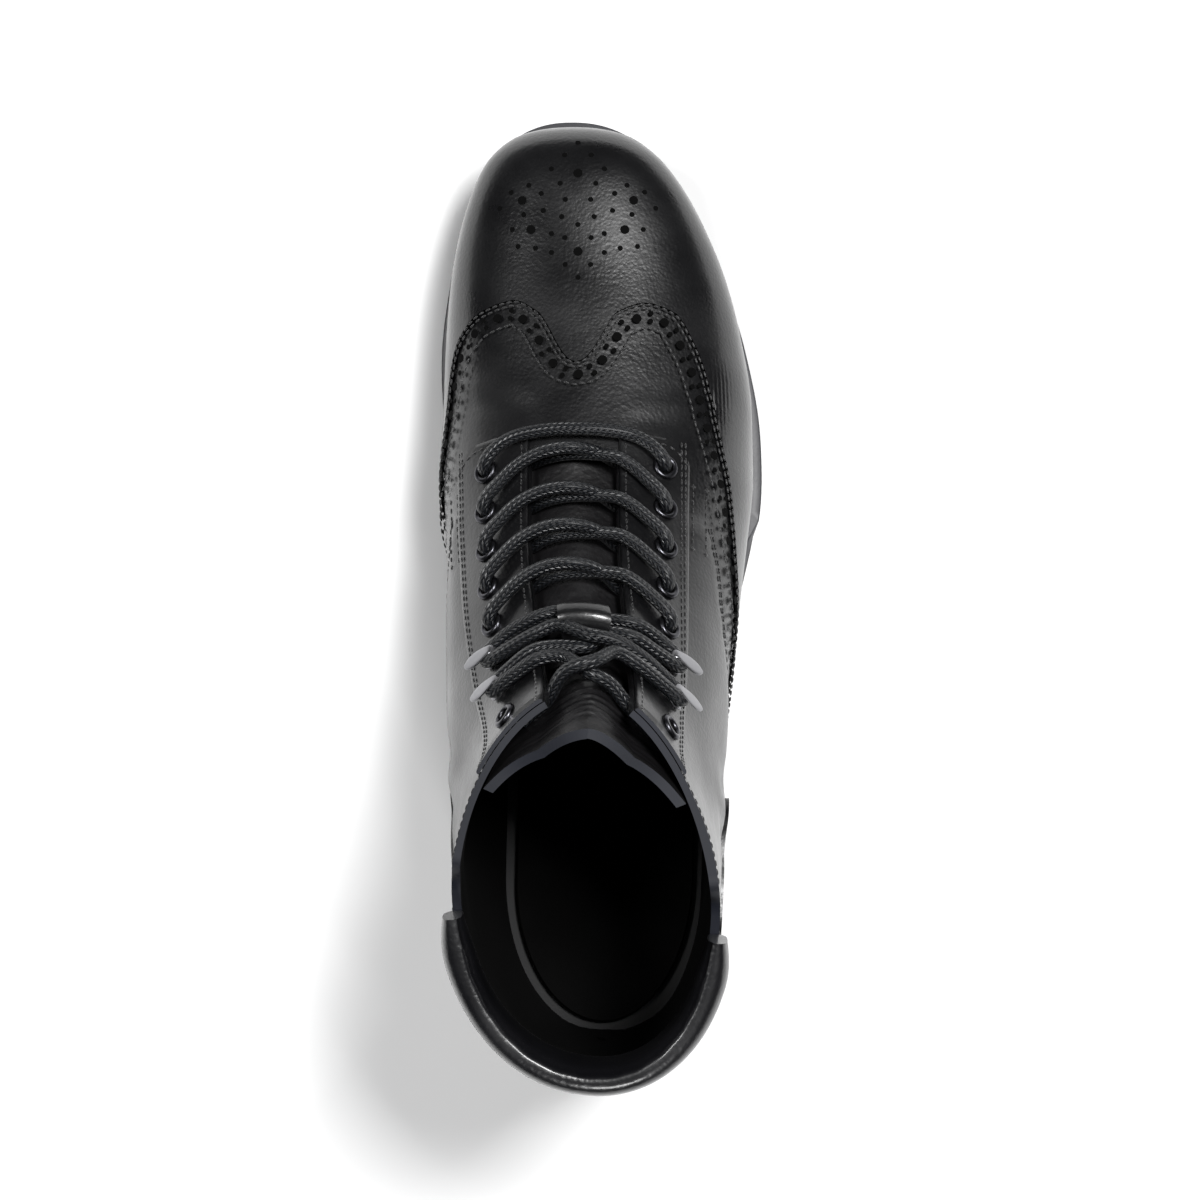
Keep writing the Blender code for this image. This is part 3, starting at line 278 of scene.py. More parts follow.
def tread(y):
    return plan(along(y), "under") * HEEL_SEAT


SECTION_COLUMNS = {name: column(SECTIONS, name) for name in Section._fields}


def section(row, name):
    return smooth(row, range(len(SECTIONS)), SECTION_COLUMNS[name])


def on_section(row, across):
    """A point of one section, from its row in the table and its place across."""
    base_y, base_in, base_out = outline(section(row, "base"), FEATHER)
    shaft = np.clip((row - CLOSED_ROW) / (TOP_ROW - CLOSED_ROW), 0, 1.2)
    base_y = base_y - section(row, "back") * UPPER_HEIGHT
    floor = seat(base_y) + CLEAR
    base_z = floor + section(row, "lift") * UPPER_HEIGHT
    top_y = blend(base_y, HEEL_BACK_Y + section(row, "top") * SOLE_LENGTH, np.clip(row, 0, 1))
    top_z = floor + section(row, "rise") * UPPER_HEIGHT
    lean = BACK_LEAN * BALL_WIDTH * shaft
    outer = across > 0
    side = np.where(outer, section(row, "outer"), section(row, "inner")) * BALL_WIDTH
    base_x = np.where(outer, base_out, base_in) + lean
    ridge = section(row, "ridge") * BALL_WIDTH
    belly = section(row, "belly")
    knee = blend(KNEE_FORE, KNEE_SHAFT, np.clip((row - 9) / 8, 0, 1))
    a = np.abs(across)
    upper_turn = np.clip(a / knee, 0, 1) * math.pi / 2
    lower_turn = np.clip((a - knee) / (1 - knee), 0, 1) * math.pi / 2
    crown = 2 / section(row, "crown")
    flank = 2 / section(row, "flank")
    above = a < knee
    x = np.where(above, ridge + (side - ridge) * np.sin(upper_turn) ** crown,
                 base_x + (side - base_x) * np.cos(lower_turn) ** flank)
    s = np.where(above, belly + (1 - belly) * np.abs(np.cos(upper_turn)) ** crown,
                 belly * (1 - np.sin(lower_turn) ** flank))
    shift = section(row, "turn") * (x - TURN_CENTRE * BALL_WIDTH)
    y = blend(base_y, top_y, s) - shift
    z = blend(base_z + seat(base_y - shift) - seat(base_y), top_z, s)
    return np.stack([x, y, z], axis=-1)


def on_upper(row, across):
    """The point of the upper's outer face at a section row and a place across it."""
    row, across = np.broadcast_arrays(np.asarray(row, float), np.asarray(across, float))
    near = np.clip(1 - np.abs(row - CLOSED_ROW) / EASE_REACH, 0, 1)
    step = EASE_STEP * np.sqrt(near) * (1 - np.abs(across) ** 8)
    return sum(on_section(row + step * k, across) * share for k, share in EASE_SHARES)


def facing_out(row, across):
    """The upper's outward direction at a point."""
    row, across = np.broadcast_arrays(np.asarray(row, float), np.asarray(across, float))
    row = np.clip(row, 0.12, len(SECTIONS) - 1.02)
    across = np.clip(across, -0.985, 0.985)
    small = 0.012
    forward = on_upper(row + small, across) - on_upper(row - small, across)
    sideways = on_upper(row, across + small) - on_upper(row, across - small)
    out = np.cross(forward, sideways)
    back_line = (np.abs(across) > 0.98) & (row > CLOSED_ROW - 0.01)
    out[..., 0] = np.where(back_line, 0, out[..., 0])
    return out / np.maximum(1e-9, np.linalg.norm(out, axis=-1, keepdims=True))


def across_at(row, distance):
    """The place across a section that lies this far from its ridge, negative towards the inner side."""
    share = np.linspace(0, 0.9, 120)
    side = 1 if distance > 0 else -1
    points = on_upper(row, share * side)
    run = np.concatenate([[0], np.cumsum(np.linalg.norm(np.diff(points, axis=0), axis=1))])
    return side * float(np.interp(abs(distance), run, share))


def row_after(row, distance, run_length):
    rows = np.linspace(row, TOP_ROW, 60)
    points = np.array([on_upper(r, across_at(r, distance)) for r in rows])
    run = np.concatenate([[0], np.cumsum(np.linalg.norm(np.diff(points, axis=0), axis=1))])
    return float(np.interp(run_length, run, rows))


def topline(across):
    """The row where the upper ends: the quarters' topline in front, under the padded collar behind."""
    a = np.abs(np.asarray(across, float))
    front = TOP_ROW - TOPLINE_DIP * np.sin(np.clip(a / COLLAR_START, 0, 1) * math.pi / 2) ** 2
    step = np.clip((a - COLLAR_START + 0.03) / 0.03, 0, 1)
    return front - step * (COLLAR_HEIGHT_ROWS + front - TOP_ROW)


def seam_row(table, across):
    return smooth(across, column(table, "across"), column(table, "row"))


# Creases pressed into the leather. row and across: the middle. long: half length in places across.
# wide: half width in rows. slant: rows gained along the half length. deep: millimetres, negative for a ridge.
Crease = namedtuple("Crease", "row across long wide slant deep")
CREASES = [
    Crease(8.25, -0.33, 0.22, 0.16, 0.25, 0.55), Crease(7.75, -0.40, 0.20, 0.13, 0.20, 0.40),
    Crease(8.55, 0.28, 0.20, 0.15, -0.20, 0.50), Crease(8.05, 0.36, 0.16, 0.12, -0.15, 0.35),
    Crease(8.00, -0.30, 0.24, 0.14, 0.22, -0.30), Crease(8.32, 0.30, 0.20, 0.13, -0.18, -0.28),
    Crease(13.6, -0.62, 0.16, 0.35, 0.9, 0.9), Crease(14.6, -0.60, 0.15, 0.30, 0.9, 0.8),
    Crease(13.9, 0.60, 0.15, 0.35, -0.9, 0.9), Crease(15.0, 0.58, 0.14, 0.30, -0.9, 0.8),
    Crease(14.1, -0.60, 0.16, 0.35, 0.9, -0.6), Crease(14.5, 0.58, 0.15, 0.35, -0.9, -0.6),
    Crease(17.6, -0.66, 0.16, 0.30, 0.3, 0.7), Crease(17.9, 0.66, 0.16, 0.30, -0.3, 0.7),
]
QUARTER_STEP = 0.7


def relief(row, across):
    """How far the leather rises or sinks from the plain form of the last, in millimetres."""
    row, across = np.broadcast_arrays(np.asarray(row, float), np.asarray(across, float))
    total = np.zeros(row.shape)
    for crease in CREASES:
        t = (across - crease.across) / crease.long
        middle = crease.row + crease.slant * t
        fade = np.exp(-(t * 1.3) ** 4)
        total = total - crease.deep * fade * np.exp(-((row - middle) / crease.wide) ** 2)
    outer_seam, inner_seam = seam_row(QUARTER_SEAM_OUTER, across), seam_row(QUARTER_SEAM_INNER, across)
    outer = ramp(row, outer_seam - 0.03, outer_seam + 0.02) * ramp(across, 0.28, 0.42)
    inner = ramp(row, inner_seam - 0.03, inner_seam + 0.02) * ramp(-across, 0.40, 0.54)
    return total + QUARTER_STEP * (outer + inner)


def skin(row, across, lift):
    """A point this far over the worn leather's face."""
    row, across = np.broadcast_arrays(np.asarray(row, float), np.asarray(across, float))
    back_line = (across <= -1) & (row >= CLOSED_ROW)
    across = np.where(back_line, 1.0, across)
    height = np.asarray(lift, float) + relief(row, across)
    return on_upper(row, across) + facing_out(row, across) * height[..., None]


def linear(hex_colour):
    """An sRGB hex colour as linear values."""
    parts = [int(hex_colour[i:i + 2], 16) / 255 for i in (1, 3, 5)]
    return tuple(p / 12.92 if p <= 0.04045 else ((p + 0.055) / 1.055) ** 2.4 for p in parts) + (1.0,)


def node(tree, kind, inputs=None, **settings):
    """Adds a node, with its settings, and its inputs set to values or linked to outputs."""
    made = tree.nodes.new(kind)
    for key, value in settings.items():
        setattr(made, key, value)
    for key, value in (inputs or {}).items():
        if isinstance(value, bpy.types.NodeSocket):
            tree.links.new(value, made.inputs[key])
        else:
            made.inputs[key].default_value = value
    return made


def start_material(name, colour, roughness, **sockets):
    """A material with one Principled BSDF, whose plain numbers sit on its own sockets."""
    material = bpy.data.materials.new(name)
    material.use_nodes = True
    tree = material.node_tree
    shader = tree.nodes["Principled BSDF"]
    shader.inputs["Base Color"].default_value = linear(colour)
    shader.inputs["Roughness"].default_value = roughness
    for key, value in sockets.items():
        shader.inputs[key].default_value = value
    return material, tree, shader


def leather(name, dark, light, roughness, grain_mm, grain_depth, coat, wear=0.0):
    """Polished calf leather, dyed and waxed: near black, with a soft pebbled grain under a glossy finish."""
    material, tree, shader = start_material(name, dark, roughness)
    shader.inputs["Coat Weight"].default_value = coat
    shader.inputs["Coat Roughness"].default_value = 0.16
    shader.inputs["IOR"].default_value = 1.5
    place = node(tree, "ShaderNodeTexCoord").outputs["Object"]
    cells = node(tree, "ShaderNodeTexVoronoi", {"Vector": place, "Scale": 1000 / grain_mm, "Randomness": 1.0},
                 feature="SMOOTH_F1")
    fine = node(tree, "ShaderNodeTexNoise", {"Vector": place, "Scale": 1000 / (grain_mm * 0.6), "Detail": 3.0})
    broad = node(tree, "ShaderNodeTexNoise", {"Vector": place, "Scale": 1000 / 26, "Detail": 4.0})
    height = node(tree, "ShaderNodeMath", {0: cells.outputs["Distance"], 1: 0.6}, operation="MULTIPLY")
    height = node(tree, "ShaderNodeMath", {0: fine.outputs["Fac"], 1: 0.35, 2: height.outputs[0]},
                  operation="MULTIPLY_ADD")
    bump = node(tree, "ShaderNodeBump", {"Strength": 1.0, "Distance": grain_depth * MM,
                                         "Height": height.outputs[0]})
    wave = node(tree, "ShaderNodeBump", {"Strength": 0.6, "Distance": 0.45 * MM, "Height": broad.outputs["Fac"],
                                         "Normal": bump.outputs["Normal"]})
    tree.links.new(wave.outputs["Normal"], shader.inputs["Normal"])
    tone = node(tree, "ShaderNodeMix", {"Factor": broad.outputs["Fac"], "A": linear(dark), "B": linear(light)},
                data_type="RGBA")
    tree.links.new(tone.outputs["Result"], shader.inputs["Base Color"])
    dull = node(tree, "ShaderNodeMapRange", {"Value": broad.outputs["Fac"], "From Min": 0.3, "From Max": 0.7,
                                             "To Min": roughness - 0.06, "To Max": roughness + 0.10 + wear})
    tree.links.new(dull.outputs["Result"], shader.inputs["Roughness"])
    return material


def rubber(name, dark, light, roughness, speck_mm=0.7):
    """Moulded rubber: a matt, slightly dusty black with a fine sandy skin from the mould."""
    material, tree, shader = start_material(name, dark, roughness)
    place = node(tree, "ShaderNodeTexCoord").outputs["Object"]
    speck = node(tree, "ShaderNodeTexNoise", {"Vector": place, "Scale": 1000 / speck_mm, "Detail": 4.0})
    cloud = node(tree, "ShaderNodeTexNoise", {"Vector": place, "Scale": 1000 / 22, "Detail": 3.0})
    bump = node(tree, "ShaderNodeBump", {"Strength": 0.6, "Distance": 0.05 * MM, "Height": speck.outputs["Fac"]})
    tree.links.new(bump.outputs["Normal"], shader.inputs["Normal"])
    tone = node(tree, "ShaderNodeMix", {"Factor": cloud.outputs["Fac"], "A": linear(dark), "B": linear(light)},
                data_type="RGBA")
    tree.links.new(tone.outputs["Result"], shader.inputs["Base Color"])
    dull = node(tree, "ShaderNodeMapRange", {"Value": cloud.outputs["Fac"], "To Min": roughness - 0.08,
                                             "To Max": roughness + 0.1})
    tree.links.new(dull.outputs["Result"], shader.inputs["Roughness"])
    return material


def metal(name, colour, roughness, scratch_mm):
    """Plated brass, gunmetal or brushed nickel: a grey mirror softened by fine rub marks."""
    material, tree, shader = start_material(name, colour, roughness, Metallic=1.0)
    place = node(tree, "ShaderNodeTexCoord").outputs["Object"]
    stretch = node(tree, "ShaderNodeMapping", {"Vector": place, "Scale": (1.0, 0.15, 1.0)})
    rub = node(tree, "ShaderNodeTexNoise", {"Vector": stretch.outputs["Vector"], "Scale": 1000 / scratch_mm,
                                            "Detail": 4.0})
    dull = node(tree, "ShaderNodeMapRange", {"Value": rub.outputs["Fac"], "To Min": roughness - 0.1,
                                             "To Max": roughness + 0.15})
    tree.links.new(dull.outputs["Result"], shader.inputs["Roughness"])
    bump = node(tree, "ShaderNodeBump", {"Strength": 0.3, "Distance": 0.03 * MM, "Height": rub.outputs["Fac"]})
    tree.links.new(bump.outputs["Normal"], shader.inputs["Normal"])
    return material


def thread(name, colour, roughness, twist_mm):
    """Waxed polyester thread: twisted, with a faint sheen on each turn of the twist."""
    material, tree, shader = start_material(name, colour, roughness)
    shader.inputs["Sheen Weight"].default_value = 0.3
    place = node(tree, "ShaderNodeTexCoord").outputs["Object"]
    twist = node(tree, "ShaderNodeTexWave", {"Vector": place, "Scale": 1000 / twist_mm / 6.3, "Distortion": 1.5},
                 bands_direction="DIAGONAL")
    bump = node(tree, "ShaderNodeBump", {"Strength": 0.5, "Distance": 0.06 * MM, "Height": twist.outputs["Fac"]})
    tree.links.new(bump.outputs["Normal"], shader.inputs["Normal"])
    return material


def woven_cord(name):
    """Waxed cotton boot lace: a round herringbone braid, blue-black, with a painted highlight on its raised ribs
    and painted shade between them.

    The UV map runs once round the cord and once for each LACE_REPEAT along it.
    """
    material, tree, shader = start_material(name, "#14171c", 0.42)
    shader.inputs["Coat Weight"].default_value = 0.12
    shader.inputs["Coat Roughness"].default_value = 0.25
    flat = node(tree, "ShaderNodeSeparateXYZ", {0: node(tree, "ShaderNodeUVMap").outputs["UV"]})
    around, run = flat.outputs["X"], flat.outputs["Y"]
    zig = node(tree, "ShaderNodeMath", {0: node(tree, "ShaderNodeMath", {0: around, 1: LACE_PLAITS},
                                                operation="MULTIPLY").outputs[0], 1: 1.0}, operation="PINGPONG")
    slope = node(tree, "ShaderNodeMath", {0: zig.outputs[0], 1: 1.0, 2: run}, operation="MULTIPLY_ADD")
    rib_and_painted_highlight = node(tree, "ShaderNodeMath", {0: slope.outputs[0], 1: 0.5}, operation="PINGPONG")
    rib_and_painted_highlight = node(tree, "ShaderNodeMath", {0: rib_and_painted_highlight.outputs[0], 1: 2.0}, operation="MULTIPLY")
    lane = node(tree, "ShaderNodeMath", {0: zig.outputs[0], 1: 0.5}, operation="PINGPONG")
    height = node(tree, "ShaderNodeMath", {0: lane.outputs[0], 1: 1.2, 2: rib_and_painted_highlight.outputs[0]},
                  operation="MULTIPLY_ADD")
    bump = node(tree, "ShaderNodeBump", {"Strength": 1.0, "Distance": 0.32 * MM, "Height": height.outputs[0]})
    tree.links.new(bump.outputs["Normal"], shader.inputs["Normal"])
    # Painted highlight and painted shade: the base colour runs lighter on the raised ribs and darker between them,
    # following the braid's relief.
    tone = node(tree, "ShaderNodeMix", {"Factor": rib_and_painted_highlight.outputs[0], "A": linear("#030304"),
                                        "B": linear("#15181d")}, data_type="RGBA")
    tree.links.new(tone.outputs["Result"], shader.inputs["Base Color"])
    return material


LACE_PLAITS = 12.0
LACE_REPEAT = 1.9

CALF = leather("polished_calf", "#060607", "#0b0b0d", 0.34, 1.15, 0.13, 0.30)
CAP_CALF = leather("polished_cap_calf", "#060607", "#0b0b0d", 0.30, 1.05, 0.10, 0.42)
TONGUE_HIDE = leather("milled_tongue_leather", "#080708", "#0f0e10", 0.46, 1.7, 0.26, 0.06)
COLLAR_CALF = leather("soft_collar_leather", "#09090b", "#121215", 0.34, 1.3, 0.14, 0.4)
LINING = leather("dull_lining_leather", "#020202", "#040404", 0.90, 1.4, 0.08, 0.0)
LINING.node_tree.nodes["Principled BSDF"].inputs["Specular IOR Level"].default_value = 0.12
CUT_EDGE = rubber("painted_cut_edge", "#070910", "#0e1320", 0.55, 0.5)
SOLE_RUBBER = rubber("moulded_sole_rubber", "#0b0b0c", "#121214", 0.55)
# Painted light: the rim's rubber is a lighter grey than the sole's rubber, for the light on its top and rounded
# edge; its lower roughness is the rim's smoother skin.
RIM_RUBBER_PAINTED_LIGHT = rubber("smooth_rim_rubber_painted_light", "#303033", "#3c3c40", 0.42, 0.9)
BEAD_RUBBER = rubber("glossy_bead_rubber", "#08080a", "#0e0e10", 0.16, 0.9)
GUNMETAL = metal("gunmetal_plate", "#4a4a4e", 0.28, 0.8)
BRUSHED = metal("brushed_nickel", "#8d8d90", 0.32, 0.5)
THREAD = thread("waxed_thread", "#0a0a0c", 0.42, 0.5)
LACE_CORD = woven_cord("waxed_cotton_braid")
# Painted shade: a near-black, barely reflecting colour on the flat discs that stand in for the dark inside of
# punched holes and eyelet bores.
PAINTED_HOLE_SHADE = start_material("painted_hole_shade", "#020202", 0.9)[0]
PAINTED_HOLE_SHADE.node_tree.nodes["Principled BSDF"].inputs["Specular IOR Level"].default_value = 0.1


def finish_piece(name, mesh, replaces=(), smooth_angle=50):
    """Links a finished mesh as a piece of the boot."""
    mesh.shade_smooth()
    mesh.set_sharp_from_angle(angle=math.radians(smooth_angle))
    item = bpy.data.objects.new(name, mesh)
    bpy.context.collection.objects.link(item)
    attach(item, "root")
    if replaces:
        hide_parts(*replaces)
    return item


def mesh_of(name, points, faces, materials, face_materials=None, merge=0.004):
    """A mesh from points in millimetres, with doubles merged, sides turned outwards and materials set."""
    mesh = bpy.data.meshes.new(name)
    mesh.from_pydata([tuple(p) for p in metres(points)], [], [tuple(f) for f in faces])
    for material in materials:
        mesh.materials.append(material)
    if face_materials is not None:
        mesh.polygons.foreach_set("material_index", np.asarray(face_materials, np.int32))
    builder = bmesh.new()
    builder.from_mesh(mesh)
    bmesh.ops.remove_doubles(builder, verts=builder.verts, dist=merge * MM)
    bmesh.ops.dissolve_degenerate(builder, edges=builder.edges, dist=0.002 * MM)
    bmesh.ops.recalc_face_normals(builder, faces=builder.faces)
    builder.to_mesh(mesh)
    builder.free()
    return mesh


def grid_faces(rows, columns, start=0, wrap=False, kept=None):
    faces = []
    for i in range(rows - 1):
        for j in range(columns if wrap else columns - 1):
            if kept is not None and not kept[i][j]:
                continue
            k = (j + 1) % columns
            a = start + i * columns
            faces.append((a + j, a + k, a + columns + k, a + columns + j))
    return faces


def panel_mesh(name, outer, inner, material, edge_material=None, kept=None):
    """Both faces of a sheet of leather and a wall round its open edges."""
    rows, columns = outer.shape[:2]
    points = np.concatenate([outer.reshape(-1, 3), inner.reshape(-1, 3)])
    size = rows * columns
    top = grid_faces(rows, columns, 0, False, kept)
    under = [(f[3] + size, f[2] + size, f[1] + size, f[0] + size) for f in top]
    used = set()
    for f in top:
        for a, b in zip(f, f[1:] + f[:1]):
            used.add((a, b))
    walls = [(b, a, a + size, b + size) for a, b in used if (b, a) not in used]
    faces = top + under + walls
    last = (rows - 1) * columns
    painted = [2 if min(wall[0], wall[1]) >= last else 0 for wall in walls]
    index = [0] * len(top) + [1] * len(under) + painted
    return mesh_of(name, points, faces, [material, LINING, edge_material or material], index)


def sweep(name, rings, material, closed_ends=True, uv=None):
    """A closed skin round a line of rings."""
    rings = np.asarray(rings)
    count, around = rings.shape[:2]
    faces = grid_faces(count, around, 0, True)
    if closed_ends:
        faces += [tuple(range(around))[::-1], tuple((count - 1) * around + k for k in range(around))]
    return mesh_of(name, rings.reshape(-1, 3), faces, [material])


FINE = 0.5 - 0.5 * np.cos(np.linspace(0, math.pi, 150))
SIDE_COLUMNS = 52
THROAT_COLUMNS = 18
CAP_FOOT = 1.2
COUNTER_LOW = 0.8
COUNTER_HEIGHT = 46.0
COUNTER_LEVELS = 3.0
COUNTER_FOOT = 0.90
COUNTER_HEEL = 0.98
COUNTER_EASE = 0.9
PANEL_TOP = CLEAR + OVERLAY
EDGE_ROLL = ((0.0, 0.55), (0.35, 0.18), (0.9, 0.0))
TOOTH_PITCH = 3.2
TOOTH_DEPTH = 1.3
TOOTH_COLUMNS = 4
CAP_LINES = 34
CAP_REACH = 0.93


def plan_loop(inset, height):
    """A loop round the sole's outline from heel to toe along the outer side and back along the inner side."""
    y, inner, outer = outline(FINE, inset(FINE) if callable(inset) else inset)
    z = height(y)
    out_side = np.stack([outer, y, z], axis=-1)
    in_side = np.stack([inner, y, z], axis=-1)
    return np.concatenate([out_side, in_side[-2:0:-1]])


def stacked(name, loops, materials, bands):
    """Joins loops of matching points, bottom to top, into one closed body. bands: a material for each wall."""
    count = len(loops[0])
    faces = grid_faces(len(loops), count, 0, True)
    index = [band for band in bands for _ in range(count)]
    half = count // 2
    for start, band in ((0, bands[0]), ((len(loops) - 1) * count, bands[-1])):
        for j in range(half):
            quad = [start + j, start + j + 1, start + count - 1 - j, start + (count - j) % count]
            faces.append(tuple(dict.fromkeys(quad)))
            index.append(band)
    return mesh_of(name, np.concatenate(loops), faces, materials, index)


def make_sole():
    """The unit sole: a grey rim with a rounded edge, its grey painted light on the top that faces the lamps, a
    groove inside it left in the darker rubber as painted shade, and a stepped side.
    """
    fore = PLAN[6].at

    def waist(at):
        return WAIST_UNDERCUT * np.clip((fore + 0.012 - at) / 0.024, 0, 1)

    def rim_inner(at):
        return np.maximum(RIM, waist(at) + 0.5)

    def side_low(y):
        return tread(y) + TREAD_EDGE * 2

    def side_high(y):
        return seat(y) - RIM_THICKNESS

    # Each row: inset, height and rubber. Rubber 1, the lighter rim rubber, paints light on the rim's rounded edge
    # and top; rubber 0, the darker sole rubber, also lines the groove inside the rim, as painted shade.
    rows = [
        (TREAD_EDGE + SIDE_STEP, tread, 0),
        (SIDE_STEP + 0.5, lambda y: tread(y) + TREAD_EDGE * 0.4, 0),
        (SIDE_STEP, lambda y: tread(y) + TREAD_EDGE, 0),
        (SIDE_STEP, lambda y: blend(side_low(y), side_high(y), 0.30), 0),
        (SIDE_STEP + 0.35, lambda y: blend(side_low(y), side_high(y), 0.36), 0),
        (SIDE_STEP, lambda y: blend(side_low(y), side_high(y), 0.42), 0),
        (SIDE_STEP, lambda y: blend(side_low(y), side_high(y), 0.55), 0),
        (lambda at: waist(at) * 0.4 + SIDE_STEP, side_high, 0),
        (lambda at: waist(at) * 0.5, lambda y: side_high(y) + SIDE_STEP * 0.6, 1),
        (lambda at: waist(at) * 0.7, lambda y: blend(side_high(y), seat(y), 0.5), 1),
        (lambda at: waist(at) * 0.9, lambda y: seat(y) - 0.8, 1),
        (lambda at: waist(at) + 0.12, lambda y: seat(y) - 0.25, 1),
        (lambda at: waist(at) + 0.5, seat, 1),
        (rim_inner, seat, 0),
        (lambda at: rim_inner(at) + 0.3, lambda y: seat(y) - GROOVE_DEPTH, 0),
        (lambda at: rim_inner(at) + GROOVE - 0.3, lambda y: seat(y) - GROOVE_DEPTH, 0),
        (lambda at: rim_inner(at) + GROOVE, seat, 0),
    ]
    loops = [plan_loop(inset, height) for inset, height, _ in rows]
    bands = [band for _, _, band in rows[:-1]]
    bands[-4] = 1
    mesh = stacked("sole_unit", loops, [SOLE_RUBBER, RIM_RUBBER_PAINTED_LIGHT], bands)
    finish_piece("sole_unit", mesh, ["outsole"], 35)


HEEL_BREAST = 0.272
BREAST_HOLLOW = 0.016
TOP_LIFT = 6.5
HEEL_STEP = 0.9
LIFT_LINES = (0.30, 0.62)


def make_heel():
    """The heel block with a hollowed breast, a top lift and two moulded lines round its side."""
    at = HEEL_BREAST * (0.5 - 0.5 * np.cos(np.linspace(0, math.pi, 60))) ** 0.9

    def loop(inset, height, breast):
        y, inner, outer = outline(at, inset)
        y = y - breast * np.clip(along(y) / HEEL_BREAST, 0, 1) ** 6
        bow = np.linspace(0, 1, 13)[1:-1]
        outer_side = np.stack([outer, y, height(y)], axis=-1)
        inner_side = np.stack([inner, y, height(y)], axis=-1)
        front = blend(outer_side[-1], inner_side[-1], bow[:, None])
        front[:, 1] -= BREAST_HOLLOW * SOLE_LENGTH * np.sin(math.pi * bow)
        front[:, 2] = height(front[:, 1])
        return np.concatenate([outer_side, front, inner_side[:0:-1]])

    def flat(z):
        return lambda y: np.full_like(np.asarray(y, float), z)

    step = SIDE_STEP + HEEL_STEP
    loops = [loop(SIDE_STEP + 0.8, flat(0.0), 1.5), loop(SIDE_STEP + 0.2, flat(0.3), 1.5),
             loop(SIDE_STEP, flat(0.8), 1.5), loop(SIDE_STEP, flat(TOP_LIFT - HEEL_STEP), 1.2),
             loop(step, flat(TOP_LIFT), 1.0)]
    for line in LIFT_LINES:
        for shift, deep in ((-0.03, 0.0), (0.0, 0.35), (0.03, 0.0)):
            share = line + shift
            loops.append(loop(step * 1.05 + deep,
                              lambda y, share=share: blend(TOP_LIFT, tread(y) - CLEAR, share), 0.6))
    loops.append(loop(step * 1.1, lambda y: tread(y) - CLEAR, 0.0))
    count = len(loops[0])
    faces = grid_faces(len(loops), count, 0, True)
    faces += [tuple(range(count))[::-1], tuple((len(loops) - 1) * count + k for k in range(count))]
    mesh = mesh_of("heel_block", np.concatenate(loops), faces, [SOLE_RUBBER])
    finish_piece("heel_block", mesh, ["heel"], 35)


def make_welt():
    """The glossy raised bead inside the groove, from waist to waist round the toe."""
    at = WELT_END + (1 - WELT_END) * np.sin(np.linspace(0, math.pi / 2, 110))
    outside = RIM + GROOVE + 0.05
    rings = []
    for turn in np.linspace(0, 2 * math.pi, 12, endpoint=False):
        inset = outside + BEAD / 2 - BEAD / 2 * math.cos(turn)
        height = blend(CLEAR, BEAD_HEIGHT, 0.5 + 0.5 * math.sin(turn))
        y, inner, outer = outline(at, inset)
        z = seat(y) + height
        rings.append(np.concatenate([np.stack([outer, y, z], axis=-1), np.stack([inner, y, z], axis=-1)[-2::-1]]))
    mesh = sweep("welt_bead", np.swapaxes(np.array(rings), 0, 1), BEAD_RUBBER)
    finish_piece("welt_bead", mesh, ["welt"])


INSOLE = 3.0
INSOLE_ROOM = 4.0


def make_insole():
    """The sock lining inside, with a softly rounded edge."""
    inset = FEATHER + WALL + INSOLE_ROOM
    loops = [plan_loop(inset + 0.6, lambda y: seat(y) + CLEAR), plan_loop(inset, lambda y: seat(y) + CLEAR + 1),
             plan_loop(inset, lambda y: seat(y) + CLEAR + INSOLE - 0.8),
             plan_loop(inset + 0.8, lambda y: seat(y) + CLEAR + INSOLE)]
    mesh = stacked("sock_liner", loops, [LINING], [0, 0, 0])
    finish_piece("sock_liner", mesh, ["insole"])


def level_row(level, place):
    """The row on a grid line: over the ankle the lines spread up to the topline."""
    climb = max(0, (level - CLOSED_ROW) / (TOP_ROW - CLOSED_ROW))
    return min(level, CLOSED_ROW) + climb * (topline(place) - CLOSED_ROW)


def level_places(level, sides=SIDE_COLUMNS, middle=THROAT_COLUMNS):
    """The places across of the grid at a level: its columns follow the throat's edge."""
    shares = np.linspace(0, 1, sides + 1)
    fade = np.clip(level / 5, 0, 1)
    inner = blend(-0.22, across_at(max(level, 1.0), -THROAT_HALF), fade)
    outer = blend(0.22, across_at(max(level, 1.0), THROAT_HALF), fade)
    between = np.linspace(inner, outer, middle + 1)[1:-1]
    return np.concatenate([blend(-1, inner, shares), between, blend(outer, 1, shares)])


VAMP_LEVELS = list(np.linspace(0, 1, 8)) + list(np.linspace(1, THROAT_ROW, 62)[1:])
SIDE_LEVELS = list(np.linspace(THROAT_ROW, CLOSED_ROW, 50)[1:])
SHAFT_LEVELS = list(np.linspace(CLOSED_ROW, TOP_ROW, 38)[1:])


